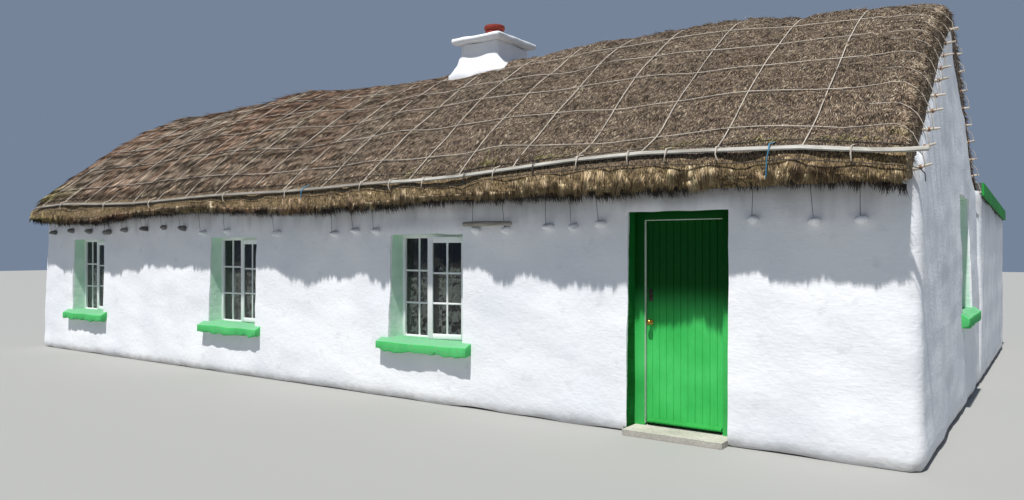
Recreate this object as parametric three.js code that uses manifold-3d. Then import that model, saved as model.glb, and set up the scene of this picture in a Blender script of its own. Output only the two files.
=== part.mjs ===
// Single-storey thatched cottage with roped thatch, limewashed stone walls and a flat-roofed
// rear extension. Millimetres, +Z up. X runs along the front (right gable at +X), Y runs back
// through the house (the front faces -Y), and the origin is on the ground under the middle of
// the main room's floor.
import * as THREE from "three";
import { mergeVertices } from "three/addons/utils/BufferGeometryUtils.js";
import Module from "manifold-3d";

const wasm = await Module();
wasm.setup();

// House plan and walls
const HOUSE_LENGTH = 13400;
const HOUSE_DEPTH = 4800;
const WALL = 500; // masonry thickness
const BATTER = 0.025; // how far the outer faces lean in, per unit of height
const SEAT_GAP = 0.3; // left between a piece and what it rests on or is cut by
const TURNED_SIDES = 16; // on pieces turned on a lathe
const MERGE_DISTANCE = 1e-3;
const FLOOR = 60;

const HALF_LENGTH = HOUSE_LENGTH / 2;
const HALF_DEPTH = HOUSE_DEPTH / 2;
const INNER_LENGTH = HALF_LENGTH - WALL;
const INNER_DEPTH = HALF_DEPTH - WALL;

// Roof: the underside is a plain pitch, the top is a rounded profile of thatch
const UNDERSIDE_AT_WALL = 2120;
const UNDERSIDE_PITCH = 0.7125;
const RIDGE_HEIGHT = 4210;
const VERGE_END = 6650; // half length of the thatch
const VERGE_ROUND = 250;
const VERGE_STEPS = [0, 40, 120, 250]; // distances from the verge where the rounding bends
const CORNER_DRAW = 0.8; // share of the overhang that the left corner of the eave loses
const CUT_VERGE_DROP = 0.4; // share of the verge's rounding that the cut eave's lip takes
const EAVE_CUT_CLEAR = 20; // beside the extension's roof
const NET_BAYS = 18;
const NET_RIGHT = 5900;
const NET_LEFT = -6100;
// [distance behind the wall face, height] from the eave lip to the ridge; the rail lies between
// the second and third rows, and a cross rope lies on each row from the fourth up
const THATCH_TOP = [
  [-300, 2070],
  [-280, 2350],
  [-244, 2380],
  [50, 2630],
  [550, 3020],
  [1030, 3370],
  [1460, 3670],
  [1900, 3950],
  [HALF_DEPTH, RIDGE_HEIGHT],
];
const RAIL_ROW = 1;
const RAIL_TOP_ROW = 2;
const FIRST_NET_ROW = 3;
const THATCH_UNDER_LIP = [
  [-200, 2060],
  [-90, 2090],
  [-40, 2105],
];
// The same rows where the rear slope is cut off above the flat roof
const CUT_EAVE = [
  [0.3, 2320],
  [0.3, 2530],
  [15, 2560],
];
// [x, height] of the ridge, which sags and humps along its length
const RIDGE_LINE = [
  [-6650, 4180],
  [-5200, 4140],
  [-2600, 4250],
  [-500, 4130],
  [1800, 4240],
  [3650, 4270],
  [5200, 4200],
  [6000, 4150],
  [6650, 4100],
];
// [x, height] of the line that the eave rail follows
const RAIL_LINE = [
  [-6650, 2280],
  [-5600, 2330],
  [-3400, 2276],
  [-1300, 2312],
  [0, 2302],
  [1500, 2330],
  [2000, 2326],
  [4500, 2430],
  [5600, 2400],
  [6650, 2312],
];

// Ropes and rails over the thatch
const ROPE = 11;
const ROPE_LIFT = 0.9;
const ROPE_FOOT = 4; // from the rail seat to the rope's lower end
const RAIL_WIDTH = 45;
const RAIL_THICKNESS = 14;
const RAIL_SEAT = 48; // width of the flat strip that the rail lies on
const RAIL_OVERHANG = 110; // past the right verge
const RAIL_LEFT_END = -6290; // short of the rounded corner
const RAIL_LAPS = [-1870, 1650];
const RAIL_LAP_GAP = 4;

// Front door
const DOOR_LEFT = 4329;
const DOOR_RIGHT = 5236;
const DOOR_HEAD = 1970;
const DOOR_RECESS = 150; // wall face to the face of the door frame
const DOOR_JAMB = 78;
const DOOR_HEAD_JAMB = 55;
const DOOR_STOP = 14; // how far the stop laps in front of the leaf
const DOOR_STOP_DEPTH = 30;
const DOOR_CLEAR = 5;
const CLOSING_CLEAR = 8; // the closing edge swings out a little as the door opens
const LEAF_THICKNESS = 50;
const LEAF_BOTTOM = 68;
const THRESHOLD_TOP = 50;
const THRESHOLD_FRONT = 120; // past the wall face
const HINGE_RADIUS = 9;
const HINGE_SIDES = 12;
const HINGE_LENGTH = 45;
const HINGE_HEIGHTS = [330, 1640];
const HINGE_GAP = 0.5;
const HINGE_PLATE = { reach: 60, proud: 5, sunk: 1 };
const KNOB_HEIGHT = 979;
const LOCK_HEIGHT = 1223;
const FURNITURE_INSET = 52; // from the leaf's closing edge
const LOCK_PLATE = [36, 6, 108];
// [radius, distance from the door] of the knob and its rose
const KNOB_PROFILE = [
  [0, 0],
  [24, 0],
  [24, 5],
  [11, 8],
  [11, 30],
  [23, 40],
  [25, 52],
  [17, 62],
  [0, 64],
];
const BAR_INSET = DOOR_STOP + DOOR_CLEAR + 3;
// [distance in front of the door, height] of the weather bar
const BAR_PROFILE = [
  [34, 78],
  [34, 92],
  [8, 118],
  [SEAT_GAP, 118],
  [SEAT_GAP, 78],
];

// Windows: frames stand back from the wall face, sills stand proud of it
const WINDOW_RECESS = 200;
const FRAME_DEPTH = 70;
const FRAME_WIDTH = 55;
const MULLION = 100; // the post with the two sash stiles that meet on it
const GLASS_THICKNESS = 6;
const SILL_PROUD = 80;
const GABLE_SILL_PROUD = 55;
const SILL_SIDE = 110;
const SILL_THICKNESS = 80;
const SILL_FALL = 45; // the top slopes down by this much to the front edge
const WINDOW_FOOT = 650;
const WINDOW_HEAD = 1800;

// Chimney
const CHIMNEY_X = 1085;
const STACK = [630, 720];
const STACK_TOP = 4425;
const FLARE = [150, 90]; // how far the skirt at the stack's foot spreads in X and in Y
const FLARE_FOOT = 3780;
const FLARE_BOTTOM = 4080;
const FLARE_TOP = 4260;
const CAP = [780, 920, 70];
const POT_RADIUS = 140;
const POT_BORE = 105;
const POT_HEIGHT = 220;
const POT_RIM = 18;

// Pegs under the eave and pins in the gables that the ropes are tied to
const PEG_XS = [
  -6300, -5700, -5150, -4600, -4100, -3560, -3050, -2580, -2110, -1570, -550, 500, 850, 1180,
  2590, 2990, 3470, 3750, 4040, 5450, 5930, 6270,
];
const REAR_PEG_XS = [-6270, -5600, -4900, -4200, -3500, -2800, -2100, -1400, -700, 0, 700, 1400];
const PEG_HEIGHT = 1850;
const PEG_SIZE = [110, 120, 60];
const FIXING_ROOT = 60; // how deep the pegs and pins sit in the wall
const PIN_RADIUS = 14;
const PIN_LENGTH = 110;
const PIN_DROP = 90; // below the thatch
const PIN_SIDES = 5;
const CORNER_PINS = [50, 300]; // distances behind the wall face, in the ends of the long walls
const GABLE_PINS = [550, 790, 1030, 1250, 1460, 1680, 1900, 2150];
const POLE_RADIUS = 24;
const POLE_SIDES = 8;
const POLE_ENDS = [2480, 3080];
const POLE_OUT = 40; // its axis in front of the wall's foot

// Rear extension
const EXTENSION_LEFT = 2100;
const EXTENSION_DEPTH = 4200;
const EXTENSION_WALL = 300;
const EXTENSION_ROOF_TOP = 2450;
const EXTENSION_FALL = 170;
const EXTENSION_SLAB = 130;
const EXTENSION_OVERHANG = 100;
const FASCIA = 25;
const FASCIA_HEIGHT = 150;
const PASSAGE = { left: 3900, right: 4750, head: 1960 };

const COLOURS = {
  limewash: [0xf2f2f3, 0.9, 0],
  thatch: [0x7d6a52, 1, 0],
  rope: [0xb9b2a2, 0.9, 0],
  rail: [0xc8c6be, 0.6, 0],
  greenPaint: [0x14a03a, 0.45, 0],
  greenSill: [0x4ccf6c, 0.55, 0],
  whitePaint: [0xf4f4f2, 0.4, 0],
  paleBar: [0xd9ddd2, 0.5, 0],
  glass: [0x1c2226, 0.08, 0],
  brass: [0xc79a3a, 0.3, 1],
  darkMetal: [0x2a2a28, 0.5, 0.6],
  terracotta: [0xb9482a, 0.8, 0],
  stone: [0xb9b5a8, 0.9, 0],
  timber: [0x8d8371, 0.9, 0],
  felt: [0x5a5c5a, 0.95, 0],
};

const house = new THREE.Group();

function material([color, roughness, metalness]) {
  return new THREE.MeshStandardMaterial({ color, roughness, metalness });
}

function place(name, geometry, finish, parent = house) {
  const mesh = new THREE.Mesh(geometry, material(finish));
  mesh.name = name;
  parent.add(mesh);
  return mesh;
}

// Joining and cutting

function toSolid(geometry) {
  const bare = geometry.clone();
  bare.deleteAttribute("normal");
  bare.deleteAttribute("uv");
  const merged = mergeVertices(bare, MERGE_DISTANCE);
  const vertProperties = new Float32Array(merged.attributes.position.array);
  const triVerts = new Uint32Array(merged.index.array);
  return new wasm.Manifold(new wasm.Mesh({ numProp: 3, vertProperties, triVerts }));
}

function toGeometry(solid) {
  const mesh = solid.getMesh();
  const geometry = new THREE.BufferGeometry();
  geometry.setAttribute("position", new THREE.BufferAttribute(mesh.vertProperties, 3));
  geometry.setIndex(new THREE.BufferAttribute(mesh.triVerts, 1));
  return geometry;
}

function joined(geometries) {
  return toGeometry(geometries.map(toSolid).reduce((whole, next) => whole.add(next)));
}

function cut(geometry, tools) {
  return toGeometry(tools.map(toSolid).reduce((whole, tool) => whole.subtract(tool), toSolid(geometry)));
}

// Basic forms

function block([x0, x1], [y0, y1], [z0, z1]) {
  const geometry = new THREE.BoxGeometry(x1 - x0, y1 - y0, z1 - z0);
  geometry.translate((x0 + x1) / 2, (y0 + y1) / 2, (z0 + z1) / 2);
  return geometry;
}

function extruded(outline, depth) {
  const shape = new THREE.Shape(outline.map(([u, v]) => new THREE.Vector2(u, v)));
  return new THREE.ExtrudeGeometry(shape, { depth, bevelEnabled: false });
}

// A section drawn in Y and Z, run along X
function prismX(outline, [x0, x1]) {
  const geometry = extruded(outline, x1 - x0);
  const turn = new THREE.Matrix4().makeBasis(
    new THREE.Vector3(0, 1, 0),
    new THREE.Vector3(0, 0, 1),
    new THREE.Vector3(1, 0, 0),
  );
  geometry.applyMatrix4(turn);
  geometry.translate(x0, 0, 0);
  return geometry;
}

// A profile of [radius, distance] turned about the Y axis
function turned(profile) {
  return new THREE.LatheGeometry(
    profile.map(([radius, distance]) => new THREE.Vector2(radius, distance)),
    TURNED_SIDES,
  );
}

// The outer skin of six-sided cells that meet face to face. A cell is two rings of four points.
function skinOfCells(cells) {
  const keyOf = (point) => point.toArray().map((value) => value.toFixed(3)).join(",");
  const faces = new Map();
  for (const [ringA, ringB] of cells) {
    const middle = [...ringA, ...ringB].reduce((sum, p) => sum.add(p), new THREE.Vector3()).divideScalar(8);
    const quads = [[...ringA], [...ringB]];
    for (let i = 0; i < 4; i += 1) {
      const next = (i + 1) % 4;
      quads.push([ringA[i], ringA[next], ringB[next], ringB[i]]);
    }
    for (const quad of quads) {
      const key = quad.map(keyOf).sort().join(";");
      if (faces.has(key)) {
        faces.delete(key);
        continue;
      }
      const across = quad[2].clone().sub(quad[0]);
      const normal = across.cross(quad[3].clone().sub(quad[1]));
      const centre = quad.reduce((sum, p) => sum.add(p), new THREE.Vector3()).divideScalar(4);
      faces.set(key, normal.dot(centre.sub(middle)) > 0 ? quad : quad.reverse());
    }
  }
  const points = [...faces.values()].flatMap(([a, b, c, d]) => [a, b, c, a, c, d]);
  return new THREE.BufferGeometry().setFromPoints(points);
}

function alongLine(line, x) {
  const last = line.length - 1;
  const next = line.findIndex(([lineX]) => lineX >= x);
  if (next <= 0) {
    return next === 0 ? line[0][1] : line[last][1];
  }
  const [x0, h0] = line[next - 1];
  const [x1, h1] = line[next];
  const t = (x - x0) / (x1 - x0);
  const smooth = t * t * (3 - 2 * t);
  return h0 + (h1 - h0) * smooth;
}

// Masonry

function undersideAt(back) {
  return UNDERSIDE_AT_WALL + UNDERSIDE_PITCH * back;
}

function battered(geometry) {
  const position = geometry.attributes.position;
  for (let i = 0; i < position.count; i += 1) {
    const [x, y] = [position.getX(i), position.getY(i)];
    const lean = BATTER * position.getZ(i);
    const onGable = Math.abs(Math.abs(x) - HALF_LENGTH) < 1;
    const onLongWall = Math.abs(Math.abs(y) - HALF_DEPTH) < 1;
    position.setX(i, onGable ? x - Math.sign(x) * lean : x);
    position.setY(i, onLongWall ? y - Math.sign(y) * lean : y);
  }
  return geometry;
}

function longWall(side, span, foot = 0) {
  const outline = [
    [side * HALF_DEPTH, foot],
    [side * INNER_DEPTH, foot],
    [side * INNER_DEPTH, undersideAt(WALL) - SEAT_GAP],
    [side * HALF_DEPTH, undersideAt(0) - SEAT_GAP],
  ];
  return prismX(side < 0 ? outline : outline.reverse(), span);
}

function gableWall(side) {
  const half = INNER_DEPTH - SEAT_GAP;
  const shoulder = undersideAt(HALF_DEPTH - half) - SEAT_GAP;
  const outline = [
    [-half, 0],
    [half, 0],
    [half, shoulder],
    [0, undersideAt(HALF_DEPTH) - SEAT_GAP],
    [-half, shoulder],
  ];
  const span = side > 0 ? [INNER_LENGTH, HALF_LENGTH] : [-HALF_LENGTH, -INNER_LENGTH];
  return prismX(outline, span);
}

function eavePegs(xs, side) {
  const [width, proud, height] = PEG_SIZE;
  const face = HALF_DEPTH - BATTER * PEG_HEIGHT;
  return xs.map((x) => {
    const reach = [side * (face - FIXING_ROOT), side * (face + proud)].sort((a, b) => a - b);
    return block([x - width / 2, x + width / 2], reach, [PEG_HEIGHT - height / 2, PEG_HEIGHT + height / 2]);
  });
}

function pinHeight(back) {
  return undersideAt(back) - PIN_DROP;
}

// Pins in the end of a gable (side -1 is the left one), below the front (slope -1) or rear thatch
function endPins(side, slope, backs) {
  return backs.map((back) => {
    const height = pinHeight(back);
    const face = HALF_LENGTH - BATTER * height;
    const pin = new THREE.CylinderGeometry(PIN_RADIUS, PIN_RADIUS, PIN_LENGTH + FIXING_ROOT, PIN_SIDES);
    pin.rotateZ(Math.PI / 2);
    pin.translate(side * (face + (PIN_LENGTH - FIXING_ROOT) / 2), slope * (HALF_DEPTH - back), height);
    return pin;
  });
}

// Thatch

const NET_XS = Array.from(
  { length: NET_BAYS + 1 },
  (_, i) => NET_LEFT + ((NET_RIGHT - NET_LEFT) * i) / NET_BAYS,
);
const EAVE_CUT_X = EXTENSION_LEFT - EXTENSION_OVERHANG - FASCIA - EAVE_CUT_CLEAR;
const STATIONS = [
  ...VERGE_STEPS.map((step) => -VERGE_END + step),
  ...NET_XS,
  EAVE_CUT_X - EAVE_CUT_CLEAR,
  EAVE_CUT_X,
  RAIL_LEFT_END,
  ...RAIL_LAPS.flatMap((x) => [x - RAIL_LAP_GAP, x + RAIL_LAP_GAP]),
  ...VERGE_STEPS.map((step) => VERGE_END - step),
].sort((a, b) => a - b);
const RIDGE_ROW = THATCH_TOP.length - 1;

function vergeDrop(x) {
  const inset = VERGE_END - Math.abs(x);
  const run = VERGE_ROUND - Math.min(inset, VERGE_ROUND);
  return VERGE_ROUND - Math.sqrt(VERGE_ROUND ** 2 - run ** 2);
}

// What is left of the overhang at a station, where the left corner is rounded in plan
function overhangAt(x) {
  return x < 0 ? 1 - (CORNER_DRAW * vergeDrop(x)) / VERGE_ROUND : 1;
}

function eaveIsCut(x, side) {
  return side > 0 && x > EAVE_CUT_X - 1;
}

// A point on the top of the thatch, at a station and a row, in front (side -1) or behind (1)
function thatchTop(x, row, side) {
  let [back, height] = THATCH_TOP[row];
  if (row <= RAIL_TOP_ROW && eaveIsCut(x, side)) {
    [back, height] = CUT_EAVE[row];
    height -= (row === 0 ? CUT_VERGE_DROP : 1) * vergeDrop(x);
  } else if (row <= RAIL_TOP_ROW) {
    back *= overhangAt(x);
    height += row === 0 ? 0 : alongLine(RAIL_LINE, x) - THATCH_TOP[RAIL_ROW][1];
  } else {
    const share = (height - THATCH_TOP[0][1]) / (RIDGE_HEIGHT - THATCH_TOP[0][1]);
    height += share * (alongLine(RIDGE_LINE, x) - RIDGE_HEIGHT) - vergeDrop(x);
  }
  return new THREE.Vector3(x, side * (HALF_DEPTH - back), height);
}

function thatchUnder(x, row, side) {
  let back = THATCH_TOP[row][0];
  let height = undersideAt(back);
  if (row < THATCH_UNDER_LIP.length) {
    [back, height] = THATCH_UNDER_LIP[row];
    back *= overhangAt(x);
    if (eaveIsCut(x, side)) {
      back = CUT_EAVE[row][0] + row;
      height = undersideAt(back);
    }
  }
  return new THREE.Vector3(x, side * (HALF_DEPTH - back), height);
}

function thatchSlope(side) {
  const geometry = new THREE.BoxGeometry(1, 1, 1, STATIONS.length - 1, RIDGE_ROW, 1);
  const position = geometry.attributes.position;
  for (let i = 0; i < position.count; i += 1) {
    const station = Math.round((position.getX(i) + 0.5) * (STATIONS.length - 1));
    const x = side < 0 ? STATIONS[station] : STATIONS[STATIONS.length - 1 - station];
    const row = Math.round((position.getY(i) + 0.5) * RIDGE_ROW);
    const point = position.getZ(i) > 0 ? thatchTop(x, row, side) : thatchUnder(x, row, side);
    if (row === RIDGE_ROW) {
      point.y += side * (SEAT_GAP / 2);
    }
    position.setXYZ(i, point.x, point.y, point.z);
  }
  return geometry;
}

// Ropes and rails

// The directions of the thatch at a station and a row: along the roof, up the slope and outwards
function surfaceFrame(x, row, side) {
  const station = STATIONS.indexOf(x);
  const left = STATIONS[Math.max(station - 1, 0)];
  const right = STATIONS[Math.min(station + 1, STATIONS.length - 1)];
  const along = thatchTop(right, row, side).sub(thatchTop(left, row, side)).normalize();
  const below = thatchTop(x, Math.max(row - 1, RAIL_ROW), side);
  const above = thatchTop(x, Math.min(row + 1, RIDGE_ROW), side);
  const slope = above.sub(below).normalize();
  const up = along.clone().cross(slope).multiplyScalar(-side).normalize();
  return { along, slope, up };
}

// Four corners of a rope or rail where it passes a point: its foot is lifted off the thatch
function ring(point, across, up, width = ROPE, height = ROPE) {
  const corner = (sideways, outwards) =>
    point
      .clone()
      .addScaledVector(across, (sideways * width) / 2)
      .addScaledVector(up, ROPE_LIFT + outwards * height);
  return [corner(-1, 0), corner(1, 0), corner(1, 1), corner(-1, 1)];
}

// The two rings of a crossing, below and above it on the slope
function crossing(x, row, side) {
  const { along, slope, up } = surfaceFrame(x, row, side);
  const point = thatchTop(x, row, side);
  return [-1, 1].map((end) => ring(point.clone().addScaledVector(slope, (end * ROPE) / 2), along, up));
}

const NET_ROWS = Array.from({ length: RIDGE_ROW - FIRST_NET_ROW }, (_, i) => FIRST_NET_ROW + i);

function chained(rings) {
  return rings.slice(1).map((next, i) => [rings[i], next]);
}

function downRope(x) {
  const foot = (side) => {
    const { along, up } = surfaceFrame(x, RAIL_TOP_ROW, side);
    const seat = thatchTop(x, RAIL_TOP_ROW, side);
    const upSlope = thatchTop(x, FIRST_NET_ROW, side).sub(seat).normalize();
    return ring(seat.addScaledVector(upSlope, ROPE_FOOT), along, up);
  };
  const ridge = ring(thatchTop(x, RIDGE_ROW, -1), new THREE.Vector3(1, 0, 0), new THREE.Vector3(0, 0, 1));
  const front = NET_ROWS.flatMap((row) => crossing(x, row, -1));
  const rear = NET_ROWS.flatMap((row) => crossing(x, row, 1)).reverse();
  return chained([foot(-1), ...front, ridge, ...rear, foot(1)]);
}

// The rings of a cross rope between two crossings, or from the last one to the verge
function crossBay(row, side, xs) {
  return xs.map((x) => {
    const { slope, up, along } = surfaceFrame(x, row, side);
    const point = thatchTop(x, row, side);
    if (NET_XS.includes(x)) {
      const end = x === xs[0] ? 1 : -1;
      point.addScaledVector(along, (end * ROPE) / 2);
    }
    return ring(point, slope, up);
  });
}

// Where a cross rope that has turned down over the verge rests on its pin
function atPin(row, side, end) {
  const edge = thatchTop(end * VERGE_END, row, side);
  const rest = pinHeight(THATCH_TOP[row][0]) + PIN_RADIUS + SEAT_GAP;
  const upSlope = new THREE.Vector3(0, -side, 0);
  return ring(new THREE.Vector3(edge.x, edge.y, rest), upSlope, new THREE.Vector3(end, 0, 0));
}

function crossRope(row, side) {
  const bays = [];
  for (let i = 0; i < NET_XS.length - 1; i += 1) {
    bays.push(crossBay(row, side, STATIONS.filter((x) => x >= NET_XS[i] && x <= NET_XS[i + 1])));
  }
  const rightVerge = crossBay(row, side, STATIONS.filter((x) => x >= NET_RIGHT));
  const leftVerge = crossBay(row, side, STATIONS.filter((x) => x <= NET_LEFT));
  bays.push([...rightVerge, atPin(row, side, 1)]);
  bays.push([atPin(row, side, -1), ...leftVerge]);
  return bays.flatMap(chained);
}

function ropeNet() {
  const down = NET_XS.flatMap(downRope);
  const across = [-1, 1].flatMap((side) => NET_ROWS.flatMap((row) => crossRope(row, side)));
  return skinOfCells([...down, ...across]);
}

function eaveRail(side, [x0, x1]) {
  const xs = [x0, ...STATIONS.filter((x) => x > x0 && x < x1), x1];
  const rings = xs.map((x) => {
    const onThatch = Math.min(x, VERGE_END);
    const low = thatchTop(onThatch, RAIL_ROW, side);
    const across = thatchTop(onThatch, RAIL_TOP_ROW, side).sub(low).normalize();
    const up = new THREE.Vector3(1, 0, 0).cross(across).multiplyScalar(-side).normalize();
    const middle = low.addScaledVector(across, RAIL_SEAT / 2);
    middle.x = x;
    return ring(middle, across, up, RAIL_WIDTH, RAIL_THICKNESS);
  });
  return skinOfCells(chained(rings));
}

// Windows

// A window is built facing -Y in its own group, with the wall face at y = 0 and x = 0 at its
// middle, and the group is then turned and moved to its wall.
function windowGroup({ name, width, foot, head, proud = SILL_PROUD }) {
  const group = new THREE.Group();
  const half = width / 2 - SEAT_GAP;
  const low = foot + SEAT_GAP;
  const high = head - SEAT_GAP;
  const depth = [WINDOW_RECESS, WINDOW_RECESS + FRAME_DEPTH];
  const lightsHigh = [low + FRAME_WIDTH, high - FRAME_WIDTH];
  const lights = [
    [-half + FRAME_WIDTH, -MULLION / 2],
    [MULLION / 2, half - FRAME_WIDTH],
  ];
  const cutters = lights.map((span) => block(span, [0, 2 * depth[1]], lightsHigh));
  place(`${name}_frame`, cut(block([-half, half], depth, [low, high]), cutters), COLOURS.whitePaint, group);

  const glassDepth = [depth[1] + SEAT_GAP, depth[1] + SEAT_GAP + GLASS_THICKNESS];
  const lap = FRAME_WIDTH / 2;
  const glass = block([-half + lap, half - lap], glassDepth, [low + lap, high - lap]);
  place(`${name}_glass`, glass, COLOURS.glass, group);

  const sill = prismX(
    [
      [-proud, foot - SILL_FALL - SILL_THICKNESS],
      [depth[1], foot - SILL_FALL - SILL_THICKNESS],
      [depth[1], foot],
      [WINDOW_RECESS, foot],
      [-proud, foot - SILL_FALL],
    ],
    [-width / 2 - SILL_SIDE, width / 2 + SILL_SIDE],
  );
  place(`${name}_sill`, sill, COLOURS.greenSill, group);
  return group;
}

// What the wall loses: the opening itself and the slot that the sill is bedded in
function windowCutters(width, foot, head) {
  const back = WINDOW_RECESS + FRAME_DEPTH + SEAT_GAP;
  const under = foot - SILL_FALL - SILL_THICKNESS - SEAT_GAP;
  const side = width / 2 + SILL_SIDE + SEAT_GAP;
  return [
    block([-width / 2, width / 2], [-WALL, 2 * WALL], [foot, head]),
    block([-side, side], [-WALL, back], [under, foot + SEAT_GAP]),
  ];
}

const LOW = { foot: WINDOW_FOOT, head: WINDOW_HEAD };
const HIGH = { foot: 970, head: 2200, proud: GABLE_SILL_PROUD };
const WINDOWS = [
  { name: "front_window_left", wall: "front", at: -5210, width: 968, ...LOW },
  { name: "front_window_middle", wall: "front", at: -1478, width: 1026, ...LOW },
  { name: "front_window_right", wall: "front", at: 1896, width: 1050, ...LOW },
  { name: "gable_window", wall: "gable", at: 940, width: 1110, ...HIGH },
  { name: "rear_window_left", wall: "rear", at: 1478, width: 1026, ...LOW },
  { name: "rear_window_right", wall: "rear", at: 5210, width: 968, ...LOW },
  { name: "extension_window", wall: "extension", at: -4400, width: 940, foot: 900, head: 1900 },
];

const WALL_PLACES = {
  front: { turn: 0, face: [0, -HALF_DEPTH] },
  gable: { turn: Math.PI / 2, face: [HALF_LENGTH, 0] },
  rear: { turn: Math.PI, face: [0, HALF_DEPTH] },
  extension: { turn: Math.PI, face: [0, HALF_DEPTH + EXTENSION_DEPTH] },
};

function wallTransform({ wall, at }) {
  const { turn, face } = WALL_PLACES[wall];
  const matrix = new THREE.Matrix4().makeRotationZ(turn);
  const shift = new THREE.Vector3(at, 0, 0).applyMatrix4(matrix);
  return matrix.setPosition(face[0] + shift.x, face[1] + shift.y, 0);
}

function cuttersFor(wall) {
  return WINDOWS.filter((opening) => opening.wall === wall).flatMap((opening) => {
    const tools = windowCutters(opening.width, opening.foot, opening.head);
    return tools.map((tool) => tool.applyMatrix4(wallTransform(opening)));
  });
}

function buildWindows() {
  for (const opening of WINDOWS) {
    const group = windowGroup(opening);
    group.applyMatrix4(wallTransform(opening));
    house.add(group);
  }
}

// The walls, floors and roof

function buildMasonry() {
  const frontLeft = battered(cut(longWall(-1, [-HALF_LENGTH, DOOR_LEFT]), cuttersFor("front")));
  const leftPegs = eavePegs(PEG_XS.filter((x) => x < DOOR_LEFT), -1);
  const leftFixings = [...leftPegs, ...endPins(-1, -1, CORNER_PINS)];
  place("front_wall_left", joined([frontLeft, ...leftFixings]), COLOURS.limewash);

  const frontRight = battered(longWall(-1, [DOOR_RIGHT, HALF_LENGTH]));
  const rightPegs = eavePegs(PEG_XS.filter((x) => x > DOOR_RIGHT), -1);
  const rightFixings = [...rightPegs, ...endPins(1, -1, CORNER_PINS)];
  place("front_wall_right", joined([frontRight, ...rightFixings]), COLOURS.limewash);

  const overDoor = battered(longWall(-1, [DOOR_LEFT + SEAT_GAP, DOOR_RIGHT - SEAT_GAP], DOOR_HEAD));
  place("front_wall_over_door", overDoor, COLOURS.limewash);

  const passage = block([PASSAGE.left, PASSAGE.right], [0, HOUSE_DEPTH], [FLOOR, PASSAGE.head]);
  const rear = battered(cut(longWall(1, [-HALF_LENGTH, HALF_LENGTH]), [...cuttersFor("rear"), passage]));
  const rearPins = [-1, 1].flatMap((side) => endPins(side, 1, CORNER_PINS));
  place("rear_wall", joined([rear, ...eavePegs(REAR_PEG_XS, 1), ...rearPins]), COLOURS.limewash);

  const rightGable = battered(cut(gableWall(1), cuttersFor("gable")));
  const pins = (side) => [-1, 1].flatMap((slope) => endPins(side, slope, GABLE_PINS));
  place("right_gable_wall", joined([rightGable, ...pins(1)]), COLOURS.limewash);
  place("left_gable_wall", joined([battered(gableWall(-1)), ...pins(-1)]), COLOURS.limewash);

  const floorX = INNER_LENGTH - SEAT_GAP;
  const floorY = INNER_DEPTH - SEAT_GAP;
  const floor = block([-floorX, floorX], [-floorY, floorY], [0, FLOOR]);
  const breastHole = stackBlock(SEAT_GAP, SEAT_GAP, [-1, STACK_TOP]);
  place("floor_slab", cut(floor, [breastHole]), COLOURS.stone);

  const threshold = block(
    [DOOR_LEFT + SEAT_GAP, DOOR_RIGHT - SEAT_GAP],
    [-HALF_DEPTH - THRESHOLD_FRONT, -INNER_DEPTH - SEAT_GAP],
    [0, THRESHOLD_TOP],
  );
  place("door_threshold", threshold, COLOURS.stone);
}

function buildThatch() {
  const hole = stackBlock(FLARE[0] + SEAT_GAP, FLARE[1] + SEAT_GAP, [0, STACK_TOP]);
  place("thatch_front_slope", cut(thatchSlope(-1), [hole]), COLOURS.thatch);
  place("thatch_rear_slope", cut(thatchSlope(1), [hole]), COLOURS.thatch);
  place("rope_net", cut(ropeNet(), [hole]), COLOURS.rope);
}

function buildRails() {
  const rightEnd = VERGE_END + RAIL_OVERHANG;
  const [lapLeft, lapRight] = RAIL_LAPS;
  place("eave_rail_left", eaveRail(-1, [RAIL_LEFT_END, lapLeft - RAIL_LAP_GAP]), COLOURS.rail);
  place("eave_rail_middle", eaveRail(-1, [lapLeft + RAIL_LAP_GAP, lapRight - RAIL_LAP_GAP]), COLOURS.rail);
  place("eave_rail_right", eaveRail(-1, [lapRight + RAIL_LAP_GAP, rightEnd]), COLOURS.rail);
  place("eave_rail_rear", eaveRail(1, [RAIL_LEFT_END, EAVE_CUT_X - EAVE_CUT_CLEAR]), COLOURS.rail);

  const poleLength = POLE_ENDS[1] - POLE_ENDS[0];
  const pole = new THREE.CylinderGeometry(POLE_RADIUS, POLE_RADIUS, poleLength, POLE_SIDES);
  pole.rotateZ(Math.PI / 2);
  const poleHeight = PEG_HEIGHT + PEG_SIZE[2] / 2 + POLE_RADIUS + SEAT_GAP;
  pole.translate((POLE_ENDS[0] + POLE_ENDS[1]) / 2, -HALF_DEPTH - POLE_OUT, poleHeight);
  place("peg_pole", pole, COLOURS.timber);
}

// Chimney

function stackBlock(growX, growY, heights) {
  const [long, deep] = STACK;
  return block(
    [CHIMNEY_X - long / 2 - growX, CHIMNEY_X + long / 2 + growX],
    [-deep / 2 - growY, deep / 2 + growY],
    heights,
  );
}

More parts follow.
